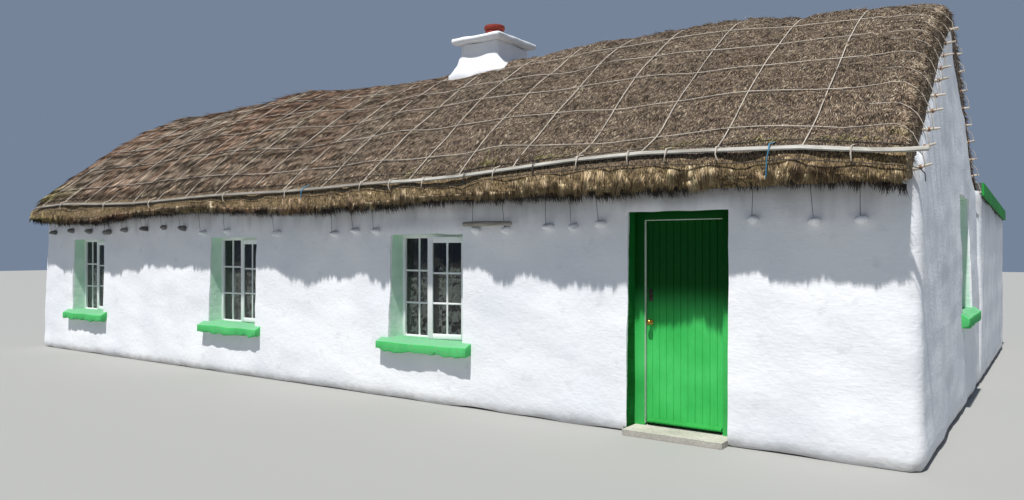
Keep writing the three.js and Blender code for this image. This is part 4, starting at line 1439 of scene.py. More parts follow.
@dataclass
class StrawField:
    """Loose straws on one area of the thatch."""

    name: str
    side: Side
    count: int
    seed: int
    up: Spot
    x: Spot = (-6.6, 6.6)
    radius: float = 0.005
    length: float = 0.085
    sunk: float = 0.003
    rail_half: float = 0.04
    rail_high: float = 0.06

    def draw(self) -> tuple[Random, Array, Array]:
        """Random places on the area: the generator, x and the distance up the slope."""
        random = np.random.default_rng(self.seed)
        return random, random.uniform(*self.x, self.count), random.uniform(*self.up, self.count)

    @staticmethod
    def far(x: Array) -> Array:
        """1 at the left end of the front, where straws lie long and flat, and 0 towards the right."""
        return 1.0 - rise(x, -4.0, 2.5)

    def ways(self, random: Random, x: Array, up: Array, form: ThatchForm) -> Ways:
        """Roots, directions, lengths and radii of the straws.

        Args:
            random: The generator.
            x: Places along the house.
            up: Places up the slope.
            form: The surface.

        Returns:
            Roots and unit directions, one row each, and lengths and radii.
        """
        points, along, slope, outward = form.frame(x, up, self.side)
        near = rise(x, -3.5, 4.0)
        wild = 0.07 + 0.17 * near
        yaw = random.normal(0, 1, len(x)) * wild + Ripple(44, 0.7)(points) * 0.05
        lift = random.uniform(0.0, 1.0, len(x)) * (0.012 + 0.14 * near)
        down = -slope * np.cos(yaw)[:, None] + along * np.sin(yaw)[:, None]
        way = down * np.cos(lift)[:, None] + outward * np.sin(lift)[:, None]
        far = self.far(x)
        short = 0.6 + 0.4 * rise(up, 0.35, 0.5)
        length = self.length * random.uniform(0.5, 1.5, len(x)) * (1 + 1.7 * far) * short
        radius = self.radius * random.uniform(0.7, 1.3, len(x)) * (1 + 0.6 * far)
        return points - outward * self.sunk, way, length, radius

    def marks(self, random: Random, x: Array, up: Array, roots: Array) -> dict[str, Array]:
        """Tone, gold and green of each straw."""
        patches = Ripple(31, 1.3)(roots) * 0.05 + Ripple(32, 0.3)(roots * (1.5, 0.4, 0.4)) * 0.05
        far = self.far(x)
        patches += Ripple(34, 0.09)(roots * (1.6, 0.2, 0.2)) * 0.11 * (1 - far)
        patches += Ripple(36, 0.07)(roots * (1.0, 0.1, 0.1)) * 0.13 * far
        spread = (random.beta(1.4, 1.7, len(x)) - 0.45) * (0.92 - 0.36 * far)
        tone = np.clip(0.47 + spread + patches, 0.06, 1)
        gold = np.clip(0.08 + 0.1 * rise(x, 1.0, 6.5) + 0.3 * (1 - rise(up, 0.34, 0.7)), 0, 1)
        gold = gold * random.uniform(0.2, 1.3, len(x))
        tufts = rise(Ripple(33, 0.35)(roots), 0.1, 0.9) * (1 - rise(up, 0.45, 0.8)) * (up > 0.3)
        corner = 1 - rise(x, -6.4, -5.2)
        mossy = corner * (0.4 + 0.6 * rise(Ripple(35, 0.3)(roots), -0.4, 0.6)) * (1 - rise(up, 0.6, 1.1))
        green = np.maximum(0.7 * rise(x, 1.0, 2.6) * tufts, mossy) * random.uniform(0.2, 1.0, len(x))
        return {"tone": tone, "gold": np.clip(gold, 0, 1), "green": np.clip(green, 0, 1)}

    def build(self, thatch: Thatch) -> None:
        """Adds the straws."""
        random, x, up = self.draw()
        roots, ways, lengths, radii = self.ways(random, x, up, thatch.form)
        marks = self.marks(random, x, up, roots)
        kept = thatch.clear_of_chimney(roots + ways * lengths[:, None] * 0.5)
        rail = RAIL_LINE(x) + self.rail_half
        below, above = roots[:, 2] < rail - self.rail_high, roots[:, 2] + ways[:, 2] * lengths > rail
        kept &= below | above | (self.side is Side.REAR)
        turn = random.normal(size=(len(x), 3))
        sideways = unit(np.cross(ways, turn))
        places = np.zeros((len(x), 4, 4))
        places[:, :3, 0] = sideways * radii[:, None]
        places[:, :3, 1] = np.cross(ways, sideways) * radii[:, None]
        places[:, :3, 2] = ways * lengths[:, None]
        places[:, :3, 3] = roots
        places[:, 3, 3] = 1
        shown = {key: mark[kept] for key, mark in marks.items()}
        show(self.name, copies(straw_pattern(), places[kept], **shown), STRAW, crease=None)


def straw_pattern() -> bpy.types.Mesh:
    """A straw of radius and length 1 that points up, thin at its end."""
    form = bmesh.new()
    bmesh.ops.create_cone(form, cap_ends=True, segments=3, radius1=1, radius2=0.0, depth=1)
    bmesh.ops.translate(form, vec=(0, 0, 0.5), verts=list(form.verts))
    bmesh.ops.remove_doubles(form, verts=list(form.verts), dist=1e-4)
    bmesh.ops.recalc_face_normals(form, faces=list(form.faces))
    return to_mesh(form)


@dataclass
class EaveField(StrawField):
    """The fringe that hangs down over the face of the eave, in wisps."""

    wisp: float = 0.075

    def ways(self, random: Random, x: Array, up: Array, form: ThatchForm) -> Ways:
        """Roots, directions, lengths and radii of the straws."""
        points, along, slope, outward = form.frame(x, up, self.side)
        wisp = ((x + 7 + 0.02 * Ripple(40, 0.5)(points)) / self.wisp).astype(int)
        count = wisp.max() + 1
        middle = (wisp + 0.5) * self.wisp - 7 + random.uniform(-0.02, 0.02, count)[wisp]
        yaw = random.normal(0, 0.08, len(x)) + Ripple(41, 0.6)(points) * 0.1 + (middle - x) * 3.0
        front = unit(outward * (1, 1, 0))
        lift = random.uniform(0.0, 0.1, len(x)) + random.uniform(0.0, 0.08, count)[wisp]
        way = unit(front * lift[:, None] + np.tan(yaw)[:, None] * along - (0, 0, 1))
        scraps = Ripple(42, 0.5)(points) * 0.022 + random.normal(0, 0.024, count)[wisp]
        end = EAVE_LINE(x) + 0.01 + scraps + np.abs(random.normal(0, 0.02, len(x)))
        if self.side is Side.REAR:
            end = np.where(x > form.cut_from, form.cut_rows[0][1] + 0.01, end)
        length = np.clip((points[:, 2] - end) * random.uniform(0.7, 1.0, len(x)), 0.05, 0.3)
        return points - outward * 0.004, way, length, self.radius * random.uniform(0.7, 1.3, len(x))

    def marks(self, random: Random, x: Array, up: Array, roots: Array) -> dict[str, Array]:
        """Tone, gold and green of each straw."""
        marks = super().marks(random, x, up, roots)
        marks["gold"] = np.clip(0.3 + 0.25 * rise(x, -3.0, 5.5) + random.normal(0, 0.15, len(x)), 0, 1)
        along = roots * (1, 0, 0)
        streaks = Ripple(45, 0.12)(along) * 0.07 + Ripple(47, 0.045)(along) * 0.13
        marks["tone"] = np.clip(marks["tone"] + streaks, 0.06, 1)
        marks["green"] = (1 - rise(x, -6.3, -4.6)) * random.uniform(0.0, 0.8, len(x))
        return marks


@dataclass
class UnderField(StrawField):
    """The straw ends under the eave, made near black as painted shade."""

    def ways(self, random: Random, x: Array, up: Array, form: ThatchForm) -> Ways:
        """Roots, directions, lengths and radii of the straws."""
        points, along, slope, outward = form.frame(x, up, self.side)
        inward = random.uniform(0.04, 0.26, len(x))
        roots = points - outward * inward[:, None]
        roots[:, 2] = EAVE_LINE(x) + 0.07 + inward * 0.06 + Ripple(46, 0.13)(points) * 0.016
        spread = random.normal(0, 0.2, len(x))
        out = random.uniform(-0.5, 0.0, len(x))
        way = unit(along * spread[:, None] + outward * out[:, None] - (0, 0, 1))
        length = random.uniform(0.05, 0.12, len(x))
        return roots, way, length, self.radius * random.uniform(0.8, 1.4, len(x))

    def marks(self, random: Random, x: Array, up: Array, roots: Array) -> dict[str, Array]:
        """Tone, gold and green of each straw."""
        none = np.zeros(len(x))
        # Tones near zero make these straws near black: painted shade under the eave.
        return {"tone": random.uniform(0.0, 0.08, len(x)), "gold": none, "green": none}


@dataclass
class VergeField(StrawField):
    """The straw ends that curl down over both ends of the house."""

    def draw(self) -> tuple[Random, Array, Array]:
        """Random places near both ends."""
        random, x, up = super().draw()
        inset = random.uniform(0.0, 0.3, self.count) ** 1.5 * 0.6
        end = random.choice([-1, 1], self.count)
        return random, end * (self.x[1] - inset), up

    def ways(self, random: Random, x: Array, up: Array, form: ThatchForm) -> Ways:
        """Roots, directions, lengths and radii of the straws."""
        points, along, slope, outward = form.frame(x, up, self.side)
        end = np.sign(x)[:, None]
        inset = self.x[1] - np.abs(x)
        droop = (random.uniform(0.4, 1.4, len(x)) - inset)[:, None]
        sideways = random.normal(0, 0.45, len(x))[:, None]
        way = unit(end * (1, 0, 0) - droop * (0, 0, 1) + sideways * slope)
        sunk = random.uniform(0, 0.12, len(x)) * (inset < 0.03) * (self.side is Side.FRONT)
        roots = points - (0, 0, 1) * sunk[:, None]
        length = random.uniform(0.03, 0.075, len(x))
        return roots, way, length, self.radius * random.uniform(0.7, 1.2, len(x))


@dataclass
class RidgeField(StrawField):
    """Short straws that stand up a little along the ridge."""

    def ways(self, random: Random, x: Array, up: Array, form: ThatchForm) -> Ways:
        """Roots, directions, lengths and radii of the straws."""
        points, along, slope, outward = form.frame(x, up, self.side)
        points[:, 1] *= random.choice([-1, 1], len(x))
        way = unit(random.normal(size=(len(x), 3)) * (1.0, 1.0, 0.2) + (0, 0, 0.05))
        length = random.uniform(0.03, 0.075, len(x))
        return points - (0, 0, 0.006), way, length, self.radius * random.uniform(0.8, 1.3, len(x))


# Ropes, rails, pegs and pins


@dataclass
class Ropes:
    """The net of ropes over the thatch, the rails along the eaves and what they are tied to."""

    form: ThatchForm
    rope: float = 0.0048
    tail: float = 0.0036
    proud: float = 3.4
    pace: float = 0.09
    pegs: tuple[Spot, ...] = (
        (-6.3, 1.92), (-5.7, 1.94), (-5.15, 1.93), (-4.6, 1.91), (-4.1, 1.93), (-3.56, 1.94),
        (-3.05, 1.95), (-2.58, 1.93), (-2.11, 1.87), (-1.57, 1.88), (-0.55, 1.84), (0.5, 1.82),
        (0.85, 1.85), (1.18, 1.84), (2.59, 1.83), (2.99, 1.83), (3.47, 1.85), (3.75, 1.84), (4.04, 1.87),
        (5.45, 1.88), (5.93, 1.85), (6.27, 1.86),
    )
    rear_pegs: tuple[float, ...] = (-6.27, -5.6, -4.9, -4.2, -3.5, -2.8, -2.1, -1.4, -0.7, 0.0, 0.7, 1.4)
    rear_peg_height: float = 1.85
    peg_size: Point = (0.055, 0.09, 0.042)
    peg_rope: float = 0.0022
    rail_ties: tuple[float, ...] = (
        -5.4, -4.1, -2.9, -1.2, 0.0, 1.25, 1.68, 2.15, 3.05, 3.97, 4.47, 4.82, 5.25, 6.26
    )
    dark_ties: tuple[float, ...] = (2.69, 3.5)
    blue_ties: tuple[float, ...] = (0.3, 5.67)
    pin_backs: tuple[float, ...] = (0.05, 0.3, 0.55, 0.79, 1.03, 1.25, 1.46, 1.68, 1.9, 2.15)
    pin_rises: Spot = (0.06, 0.17)
    pin_lengths: Spot = (0.09, 0.05)
    pin_bedded: float = 0.05
    pin_radii: Spot = (0.016, 0.008)
    tie: float = 0.0055
    wire: float = 0.0038
    # Front stones left of this x are painted dark: painted shade under the eave.
    shade_darkened_to: float = -2.3

    def over(self, x: Array, up: Array, side: Side, lift: float = 1.0) -> Array:
        """Points on the thatch, raised by a share of the rope's radius."""
        points, _, _, outward = self.form.frame(x, up, side)
        return points + outward * self.rope * lift

    @staticmethod
    def taut(path: Array) -> Array:
        """A path without the small bends that a pulled rope doesn't follow."""
        padded = np.pad(path, ((2, 2), (0, 0)), "reflect", reflect_type="odd")
        return sum(padded[first : first + len(path)] for first in range(5)) / 5

    def down_rope(self, x: float) -> Array:
        """The path of a rope over the roof from one eave to the other."""
        count = round((self.form.top - self.form.rail_at) / self.pace)
        up = np.linspace(self.form.rail_at, self.form.top, count)
        across = x + Ripple(51, 1.6)(np.c_[up, up * 0 + x, up * 0]) * 0.006
        front = self.over(across, up, Side.FRONT, self.proud)
        rear = self.over(across, up, Side.REAR, self.proud)
        return self.taut(np.r_[front, rear[-2::-1]])

    def pin_root(self, back: float, end: int, side: Side) -> Array:
        """Where a pin comes out of the wall."""
        height = EAVE + PITCH * back + self.pin_rises[side.row]
        return np.array([end * (HALF_LENGTH - BATTER * height), side.value * (HALF_DEPTH - back), height])

    def to_pin(self, back: float, end: int, side: Side, start: float) -> Array:
        """The path of a rope from the thatch over the verge down to its pin."""
        rows = np.array(self.form.rows)
        up = float(np.interp(back, rows[:, 0], self.form.marks))
        inset = np.array([start, start * 0.6, 0.25, 0.16, 0.09, 0.04, 0.012])
        x = end * (self.form.half_length - inset)
        over = self.over(x, np.full(len(x), up), side)
        pin = self.pin_root(back, end, side) + (end * 0.055, 0, self.rope)
        return np.r_[over[:-1], (over[-2:-1] + pin) / 2 + (end * 0.016, 0, 0.012), [pin]]

    def net(self) -> bpy.types.Mesh:
        """The ropes up the slopes and along them, and the ties of the gable's pins."""
        paths = [self.down_rope(x) for x in self.form.rope_xs]
        tails = []
        rows = np.array(self.form.rows)
        reach = self.form.half_length - 0.5
        for side in Side:
            for up in self.form.rope_rows:
                x = np.arange(-reach, reach, self.pace)
                drift = Ripple(52, 2.2)(np.c_[x, x * 0 + up, x * 0]) * 0.008
                paths.append(self.taut(self.over(x, up + drift, side, self.proud)))
            for end in (-1, 1):
                crossed = [float(back) for back in rows[3:8, 0]]
                for back in self.pin_backs:
                    start = 0.56 if any(abs(back - b) < 0.01 for b in crossed) else 0.38
                    tails.append(self.to_pin(back, end, side, start))
        return joined(tubes(paths, self.rope), tubes(tails, self.tail))

    def pins(self) -> tuple[bpy.types.Mesh, bpy.types.Mesh]:
        """The wooden pins in the gables and the cord wound round each."""
        form = bmesh.new()
        thick, thin = self.pin_radii
        bmesh.ops.create_cone(form, cap_ends=True, segments=9, radius1=thick, radius2=thin, depth=1)
        bmesh.ops.translate(form, vec=(0, 0, 0.5), verts=list(form.verts))
        bmesh.ops.subdivide_edges(form, edges=[e for e in form.edges if e.calc_length() > 0.5], cuts=3)
        pin = to_mesh(form)
        angle = np.linspace(0, 5 * math.pi, 30)
        coil = np.c_[thick * np.cos(angle), thick * np.sin(angle), 0.42 + angle / angle[-1] * 0.13]
        places, coils = [], []
        random = np.random.default_rng(61)
        for side in Side:
            for end in (-1, 1):
                length = self.pin_lengths[side.row] + 0.06
                for back in self.pin_backs:
                    root = self.pin_root(back, end, side)
                    tilt = Matrix.Rotation(end * (QUARTER - random.uniform(0.0, 0.3)), 4, "Y")
                    swing = Matrix.Rotation(random.uniform(-0.2, 0.2), 4, "Z")
                    inside = Matrix.Translation(root - (end * self.pin_bedded, 0, 0)) @ swing @ tilt
                    places.append(inside @ Matrix.Diagonal((1, 1, length, 1)))
                    coils.append(np.array([inside @ Vector(spot) for spot in coil * (1, 1, length)]))
        return copies(pin, np.array(places)), tubes(coils, 0.004)

    def peg_places(self) -> list[tuple[float, float, Side]]:
        """Where each stone peg comes out of a long wall: x, height and side."""
        front = [(x, height, Side.FRONT) for x, height in self.pegs]
        return front + [(x, self.rear_peg_height, Side.REAR) for x in self.rear_pegs]

    def stones(self, shade_darkened: bool) -> bpy.types.Mesh:
        """The stones that stand out of the walls under the eaves.

        Args:
            shade_darkened: Whether the stones at the far left of the front, painted dark as shade under the
                eave, are wanted, or the limewashed ones.

        Returns:
            Their mesh.
        """
        parts = []
        for number, (x, height, side) in enumerate(self.peg_places()):
            if shade_darkened is not (x < self.shade_darkened_to and side is Side.FRONT):
                continue
            form = bmesh.new()
            bmesh.ops.create_icosphere(form, subdivisions=2, radius=1)
            stone = to_mesh(form)
            shape = Ripple(70 + number, 1.6)
            swell(stone, lambda points, shape=shape: shape(points) * 0.12 - 0.1)
            size = Matrix.Diagonal((*self.peg_size, 1))
            y = side.value * (HALF_DEPTH - BATTER * height + 0.02)
            parts.append((stone, Matrix.Translation((x, y, height)) @ size))
        return joined(*parts)

    def peg_ropes(self) -> bpy.types.Mesh:
        """The dark ropes from the rail past the eave's lip down to the pegs."""
        paths = []
        for number, (x, height, side) in enumerate(self.peg_places()):
            lean = 0.05 * math.sin(number * 2.4)
            y = side.value * (HALF_DEPTH + 0.02)
            eave = [x + lean * 0.4, side.value * (HALF_DEPTH + 0.05), 2.13]
            near = [x + lean * 0.1, y + side.value * 0.01, height + 0.09]
            paths.append(np.array([eave, near, [x, y, height + 0.02]]))
        return tubes(paths, self.peg_rope)

    def rail_middle(self, x: Array, side: Side) -> Array:
        """Points along the middle of a rail's face."""
        height = RAIL_LINE(np.clip(x, -6.65, 6.65)) + 0.016
        return np.c_[x, np.full(len(x), side.value * 2.673), height]

    def ties(self, xs: Sequence[float], hang: float) -> bpy.types.Mesh:
        """Rope ties that hold the front rail down, with ends that hang a little below it."""
        paths = []
        for x in xs:
            lean = 0.012 * math.sin(x * 7)
            above = self.over(np.array([x + lean]), np.array([0.4]), Side.FRONT)
            rail = self.rail_middle(np.array([x, x]), Side.FRONT)
            rail += ((0, -0.012, 0.03), (0, -0.036, -0.03))
            foot = rail[1, 2]
            low = np.array([[x - lean, -2.705, foot - 0.04], [x - lean * 2, -2.7, foot - hang]])
            paths.append(np.r_[above, rail, low])
        return tubes(paths, self.tie)

    def wires(self) -> bpy.types.Mesh:
        """The thin wire along the face of the eave, and the grey rope just above the rail."""
        x = np.arange(-6.62, 6.64, 0.09)
        sag = Ripple(81, 1.3)(np.c_[x, x * 0, x * 0]) * 0.012
        low = self.taut(self.over(x, 0.2 - 0.05 * rise(x, 3.0, 6.0) + sag, Side.FRONT, 3.4))
        high = self.taut(self.over(x, 0.43 + sag, Side.FRONT, 2.0))
        corner = np.array([[6.7, -2.66, 2.2], [6.72, -2.55, 2.17], [6.7, -2.36, 2.13]])
        return tubes([np.r_[low, corner], high], self.wire)

    def build(self) -> None:
        """Adds the net, pins, pegs, rails and ties."""
        show("rope_net_over_thatch", self.net(), ROPE, ["rope_net"], crease=60)
        pins, coils = self.pins()
        show("gable_pins", pins, PIN_WOOD)
        show("pin_windings", coils, WRAPPING, crease=60)
        show("eave_peg_stones", self.stones(False), LIMEWASH, crease=80)
        show("dark_peg_stones", self.stones(True), SHADE_DARKENED_STONE, crease=80)
        show("peg_ropes", self.peg_ropes(), DARK_ROPE, crease=60)
        show("rail_ties", self.ties(self.rail_ties, 0.05), ROPE, crease=60)
        show("dark_rail_ties", self.ties(self.dark_ties, 0.06), DARK_ROPE, crease=60)
        show("blue_rail_ties", self.ties(self.blue_ties, 0.2), BLUE_ROPE, crease=60)
        show("eave_wire", self.wires(), DARK_ROPE, crease=60)
        for rail in ("left", "middle", "rear"):
            repaint(f"eave_rail_{rail}", OLD_RAIL)
        repaint("eave_rail_right", RAIL_BOARD)
        self.build_pole()

    def build_pole(self) -> None:
        """Adds the weathered pole that lies on two of the pegs."""
        low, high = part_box("peg_pole")
        middle = (low + high) / 2
        near_end = [(0, 0), (0.02, 0), (0.024, 0.006), (0.025, 0.2)]
        far_end = [(0.022, 0.42), (0.02, 0.594), (0.015, 0.6), (0, 0.6)]
        start = Matrix.Translation((low.x, middle.y, middle.z - 0.01))
        pole = placed(turned(near_end + far_end, 14), start @ Matrix.Rotation(QUARTER, 4, "Y"))
        knots = Ripple(91, 0.1)
        swell(pole, lambda points: knots(points) * 0.0015)
        show("peg_rest_pole", pole, POLE_WOOD, ["peg_pole"], crease=50)


# The chimney


@dataclass
class Chimney:
    """The whitewashed stack with its spreading foot, cap slab and clay pot."""

    x: float = 1.085
    stack: Spot = (0.63, 0.72)
    top: float = 4.425
    spread: Spot = (0.15, 0.1)
    flare: Spot = (4.02, 4.3)
    foot: float = 3.78
    cap: Point = (0.78, 0.92, 0.07)
    pot_height: float = 0.22
    pot_radius: float = 0.14
    bore: float = 0.105
    voxel: float = 0.045
    cap_voxel: float = 0.022
    lumps: Ripple = Ripple(101, 0.35)

    def shaft(self) -> bpy.types.Mesh:
        """The stack from the ground up, with the foot that spreads onto the thatch."""
        form = bmesh.new()
        half = Vector((self.stack[0] / 2, self.stack[1] / 2, 0))
        add_box(form, -half, half + Vector((0, 0, self.top + 0.01)))
        for height in (self.foot - 0.001, self.foot, *np.linspace(*self.flare, 7)):
            cut(form, (0, 0, height), (0, 0, 1))
        low, high = self.flare
        for vert in form.verts:
            if vert.co.z > self.foot - 0.0005:
                share = min(1.0, max(0.0, (high - vert.co.z) / (high - low))) ** 2
                vert.co.x += math.copysign(self.spread[0] * share, vert.co.x)
                vert.co.y += math.copysign(self.spread[1] * share, vert.co.y)
        bmesh.ops.translate(form, vec=(self.x, 0, 0), verts=list(form.verts))
        mesh = softened(to_mesh(form), self.voxel, 3)
        swell(mesh, lambda points: self.lumps(points) * 0.005 + 0.003)
        return mesh

    def build(self) -> None:
        """Adds the stack, cap and pot."""
        show("chimney_shaft", self.shaft(), LIMEWASH, ["chimney_stack"], crease=None).data.shade_smooth()
        half = Vector(self.cap) / 2
        place = Matrix.Translation((self.x, 0, self.top + self.cap[2] / 2))
        slab = softened(placed(boxes((-half, half)), place), self.cap_voxel, 2)
        swell(slab, lambda points: self.lumps(points * 1.4) * 0.005 + 0.005)
        show("chimney_cap_slab", slab, LIMEWASH, ["chimney_cap"], crease=None).data.shade_smooth()
        rim, height = self.pot_radius, self.pot_height
        profile = [
            (rim - 0.012, 0.0), (rim, 0.008), (rim - 0.01, height * 0.5), (rim - 0.02, height - 0.062),
            (rim - 0.006, height - 0.056), (rim + 0.002, height - 0.045), (rim + 0.002, height - 0.01),
            (rim - 0.004, height), (self.bore + 0.004, height), (self.bore, height - 0.006),
            (self.bore, 0.0),
        ]
        place = Matrix.Translation((self.x, 0, self.top + self.cap[2]))
        show("clay_pot", placed(turned(profile, 40), place), CLAY, ["chimney_pot"], crease=40)


# Windows


@dataclass
class Window:
    """A white window of a fixed light and an opening one, with its sill and lace curtain."""

    opening: Opening
    ajar: float = 0.0
    recess: float = 0.2
    depth: float = 0.07
    splay: float = 0.045
    border: float = 0.04
    glass_back: float = 0.034
    mullion: float = 0.045
    stile: float = 0.05
    sash_rails: Spot = (0.055, 0.065)
    rebate: float = 0.004
    sash_lap: float = 0.012
    sash_proud: float = 0.022
    bar: float = 0.02
    bedded: float = 0.012
    soft: float = 0.0035
    curtain_share: float = 0.57
    curtain_side: float = 0.02
    curtain_lift: float = 0.02
    curtain_back: float = 0.075
    pleat: float = 0.085
    sill_side: float = 0.11
    sill_fall: float = 0.045
    sill_thick: float = 0.08
    sill_rise: float = 0.02
    sill_arris: float = 0.011
    sill_cuts: int = 60

    def grille(self, low: Spot, high: Spot, front: float, back: float) -> list[Box]:
        """Glazing bars of one light: one upright and two crossbars.

        Args:
            low: Left and lower edge of the glass.
            high: Right and upper edge of the glass.
            front: Distance of the bars' face behind the wall's face.
            back: Distance of their back.

        Returns:
            The corners of each bar.
        """
        half = self.bar / 2
        middle = (low[0] + high[0]) / 2
        made = [((middle - half, front, low[1]), (middle + half, back, high[1]))]
        for share in (1 / 3, 2 / 3):
            height = low[1] + (high[1] - low[1]) * share
            made.append(((low[0], front + 0.002, height - half), (high[0], back - 0.002, height + half)))
        return made

    @staticmethod
    def surround(low: Spot, high: Spot, widths: Point, front: float, back: float) -> list[Box]:
        """Two stiles and two rails round a light or a window.

        Args:
            low: Left and lower edge.
            high: Right and upper edge.
            widths: Width of the stiles, of the lower rail and of the upper rail.
            front: Distance of the face behind the wall's face.
            back: Distance of the back.

        Returns:
            The corners of each piece.
        """
        (left, foot), (right, head) = low, high
        stile, lower, upper = widths
        return [
            ((left, front, foot), (left + stile, back, head)),
            ((right - stile, front, foot), (right, back, head)),
            ((left + stile, front, foot), (right - stile, back, foot + lower)),
            ((left + stile, front, head - upper), (right - stile, back, head)),
        ]

    def joinery(self) -> tuple[bpy.types.Mesh, bpy.types.Mesh]:
        """The woodwork (frame, post, fixed light and opening sash) and its two panes of glass."""
        o = self.opening
        half = o.width / 2 - self.splay + self.bedded
        rebate = self.rebate
        foot, head = o.foot - rebate, o.head + self.bedded
        front, back = self.recess, self.recess + self.depth
        edge = self.border + self.bedded
        low, high = foot + self.border, head - edge
        fixed = self.surround((-half, foot), (half, head), (edge, self.border, edge), front, back)
        fixed.append(((-self.mullion, front, low), (0.0, back, high)))
        light = (-half + edge, low), (-self.mullion, high)
        fixed += self.grille(*light, front + 0.012, front + self.glass_back)

        lap, proud = self.sash_lap, front - self.sash_proud
        lower, upper = self.sash_rails
        left, right = -lap, half - edge + lap
        bottom, top = low - lap, high + lap
        widths = (self.stile + lap, lower, upper)
        moving = self.surround((left, bottom), (right, top), widths, proud, front - 0.001)
        inner = (left + self.stile + lap, bottom + lower), (right - self.stile - lap, top - upper)
        moving += self.grille(*inner, proud + 0.01, front + 0.006)
        hinge = Matrix.Translation((right, proud, 0))
        swing = hinge @ Matrix.Rotation(math.radians(self.ajar), 4, "Z") @ hinge.inverted()

        panes, set_back = [], front + self.glass_back - 0.006
        for ((left, bottom), (right, top)), face in ((light, set_back), (inner, front)):
            low_corner = (left - rebate, face, bottom - rebate)
            panes.append(boxes((low_corner, (right + rebate, face + 0.004, top + rebate))))
        wood = joined(boxes(*fixed, soft=self.soft), (boxes(*moving, soft=self.soft), swing))
        return placed(wood, o.matrix), placed(joined(panes[0], (panes[1], swing)), o.matrix)

    def sill(self) -> bpy.types.Mesh:
        """The painted sill, whose lower edge is chipped and uneven."""
        o = self.opening
        half = o.width / 2 + self.sill_side
        form = bmesh.new()
        low = (-half, -o.sill_proud, o.foot - self.sill_fall - self.sill_thick)
        add_box(form, low, (half, self.recess + self.depth, o.foot + self.sill_rise))
        bevelled(form, self.sill_arris, 3)
        cuts = [((place, 0, 0), (1, 0, 0)) for place in np.linspace(-half, half, self.sill_cuts)[1:-1]]
        for place, across in [*cuts, ((0, 0.012, 0), (0, 1, 0))]:
            cut(form, place, across)
        for vert in form.verts:
            if vert.co.z > o.foot - 0.01 and vert.co.y < 0.2:
                vert.co.z -= self.sill_fall if vert.co.y < 0 else 0.006
        mesh = placed(to_mesh(form), o.matrix)
        edge = Ripple(sum(map(ord, o.name)), 0.16)
        chips = Ripple(len(o.name) + 120, 0.07)
        points = points_of(mesh)
        height = o.foot - self.sill_fall - self.sill_thick
        lowest = 1 - rise(points[:, 2], height + 0.01, height + 0.06)
        ragged = edge(points) * 0.008 + np.maximum(chips(points) - 0.9, 0) * 0.022
        points[:, 2] += lowest * ragged + edge(points * 0.4) * 0.003
        move_points(mesh, points)
        # Upward faces are marked for the painted highlight that makes the sill's top paler.
        upward = rise(np.array([face.normal.z for face in mesh.polygons]), 0.7, 0.9)
        mesh.attributes.new("topside", "FLOAT", "FACE").data.foreach_set("value", upward)
        return mesh

    @property
    def drop(self) -> float:
        """Height of the curtain."""
        return (self.opening.head - self.opening.foot) * self.curtain_share

    def curtain(self) -> bpy.types.Mesh:
        """A lace curtain that hangs in pleats behind the lower part of the glass."""
        o = self.opening
        half = o.width / 2 - self.curtain_side
        form = bmesh.new()
        bmesh.ops.create_grid(form, x_segments=110, y_segments=14, size=0.5)
        mesh = to_mesh(form)
        points = points_of(mesh)
        across, down = points[:, 0] * 2 * half, 0.5 - points[:, 1]
        fold = Ripple(7 + len(o.name), 0.5)(np.c_[across, across * 0, across * 0])
        phase = (across / self.pleat + 0.25 * fold) * 2 * math.pi
        depth = 0.016 + 0.008 * down
        points[:, 0] = across
        points[:, 1] = self.recess + self.depth + self.curtain_back + depth * np.sin(phase)
        points[:, 2] = o.foot + self.curtain_lift + self.drop * (1 - down) + 0.004 * np.cos(phase) * down
        move_points(mesh, points)
        return placed(mesh, o.matrix)

    def rod(self) -> bpy.types.Mesh:
        """The thin rod that the curtain hangs from."""
        o = self.opening
        height = o.foot + self.curtain_lift + self.drop
        half = o.width / 2 + 0.02
        length = 2 * half
        profile = [(0, 0), (0.005, 0), (0.006, 0.002), (0.006, length - 0.002), (0.005, length), (0, length)]
        turn = Matrix.Rotation(QUARTER, 4, "Y")
        place = Matrix.Translation((-half, self.recess + self.depth + self.curtain_back, height)) @ turn
        return placed(turned(profile, 10), o.matrix @ place)

    def build(self) -> None:
        """Adds the window."""
        o = self.opening
        wood, glass = self.joinery()
        show(f"{o.name}_joinery", wood, WINDOW_WHITE, [f"{o.name}_frame"])
        show(f"{o.name}_panes", glass, GLASS, [f"{o.name}_glass"])
        show(f"{o.name}_painted_sill", self.sill(), SILL_GREEN, [f"{o.name}_sill"], crease=25)
        rod = show(f"{o.name}_curtain_rod", self.rod(), WINDOW_WHITE)
        lace = show(f"{o.name}_lace", self.curtain(), LACE, crease=180)
        width = sum(face.area for face in lace.data.polygons) / self.drop
        gathered = o.width - 2 * self.curtain_side
        LOG.info("%s: %.2f m of lace gathered to %.2f m", lace.name, width, gathered)


# The door


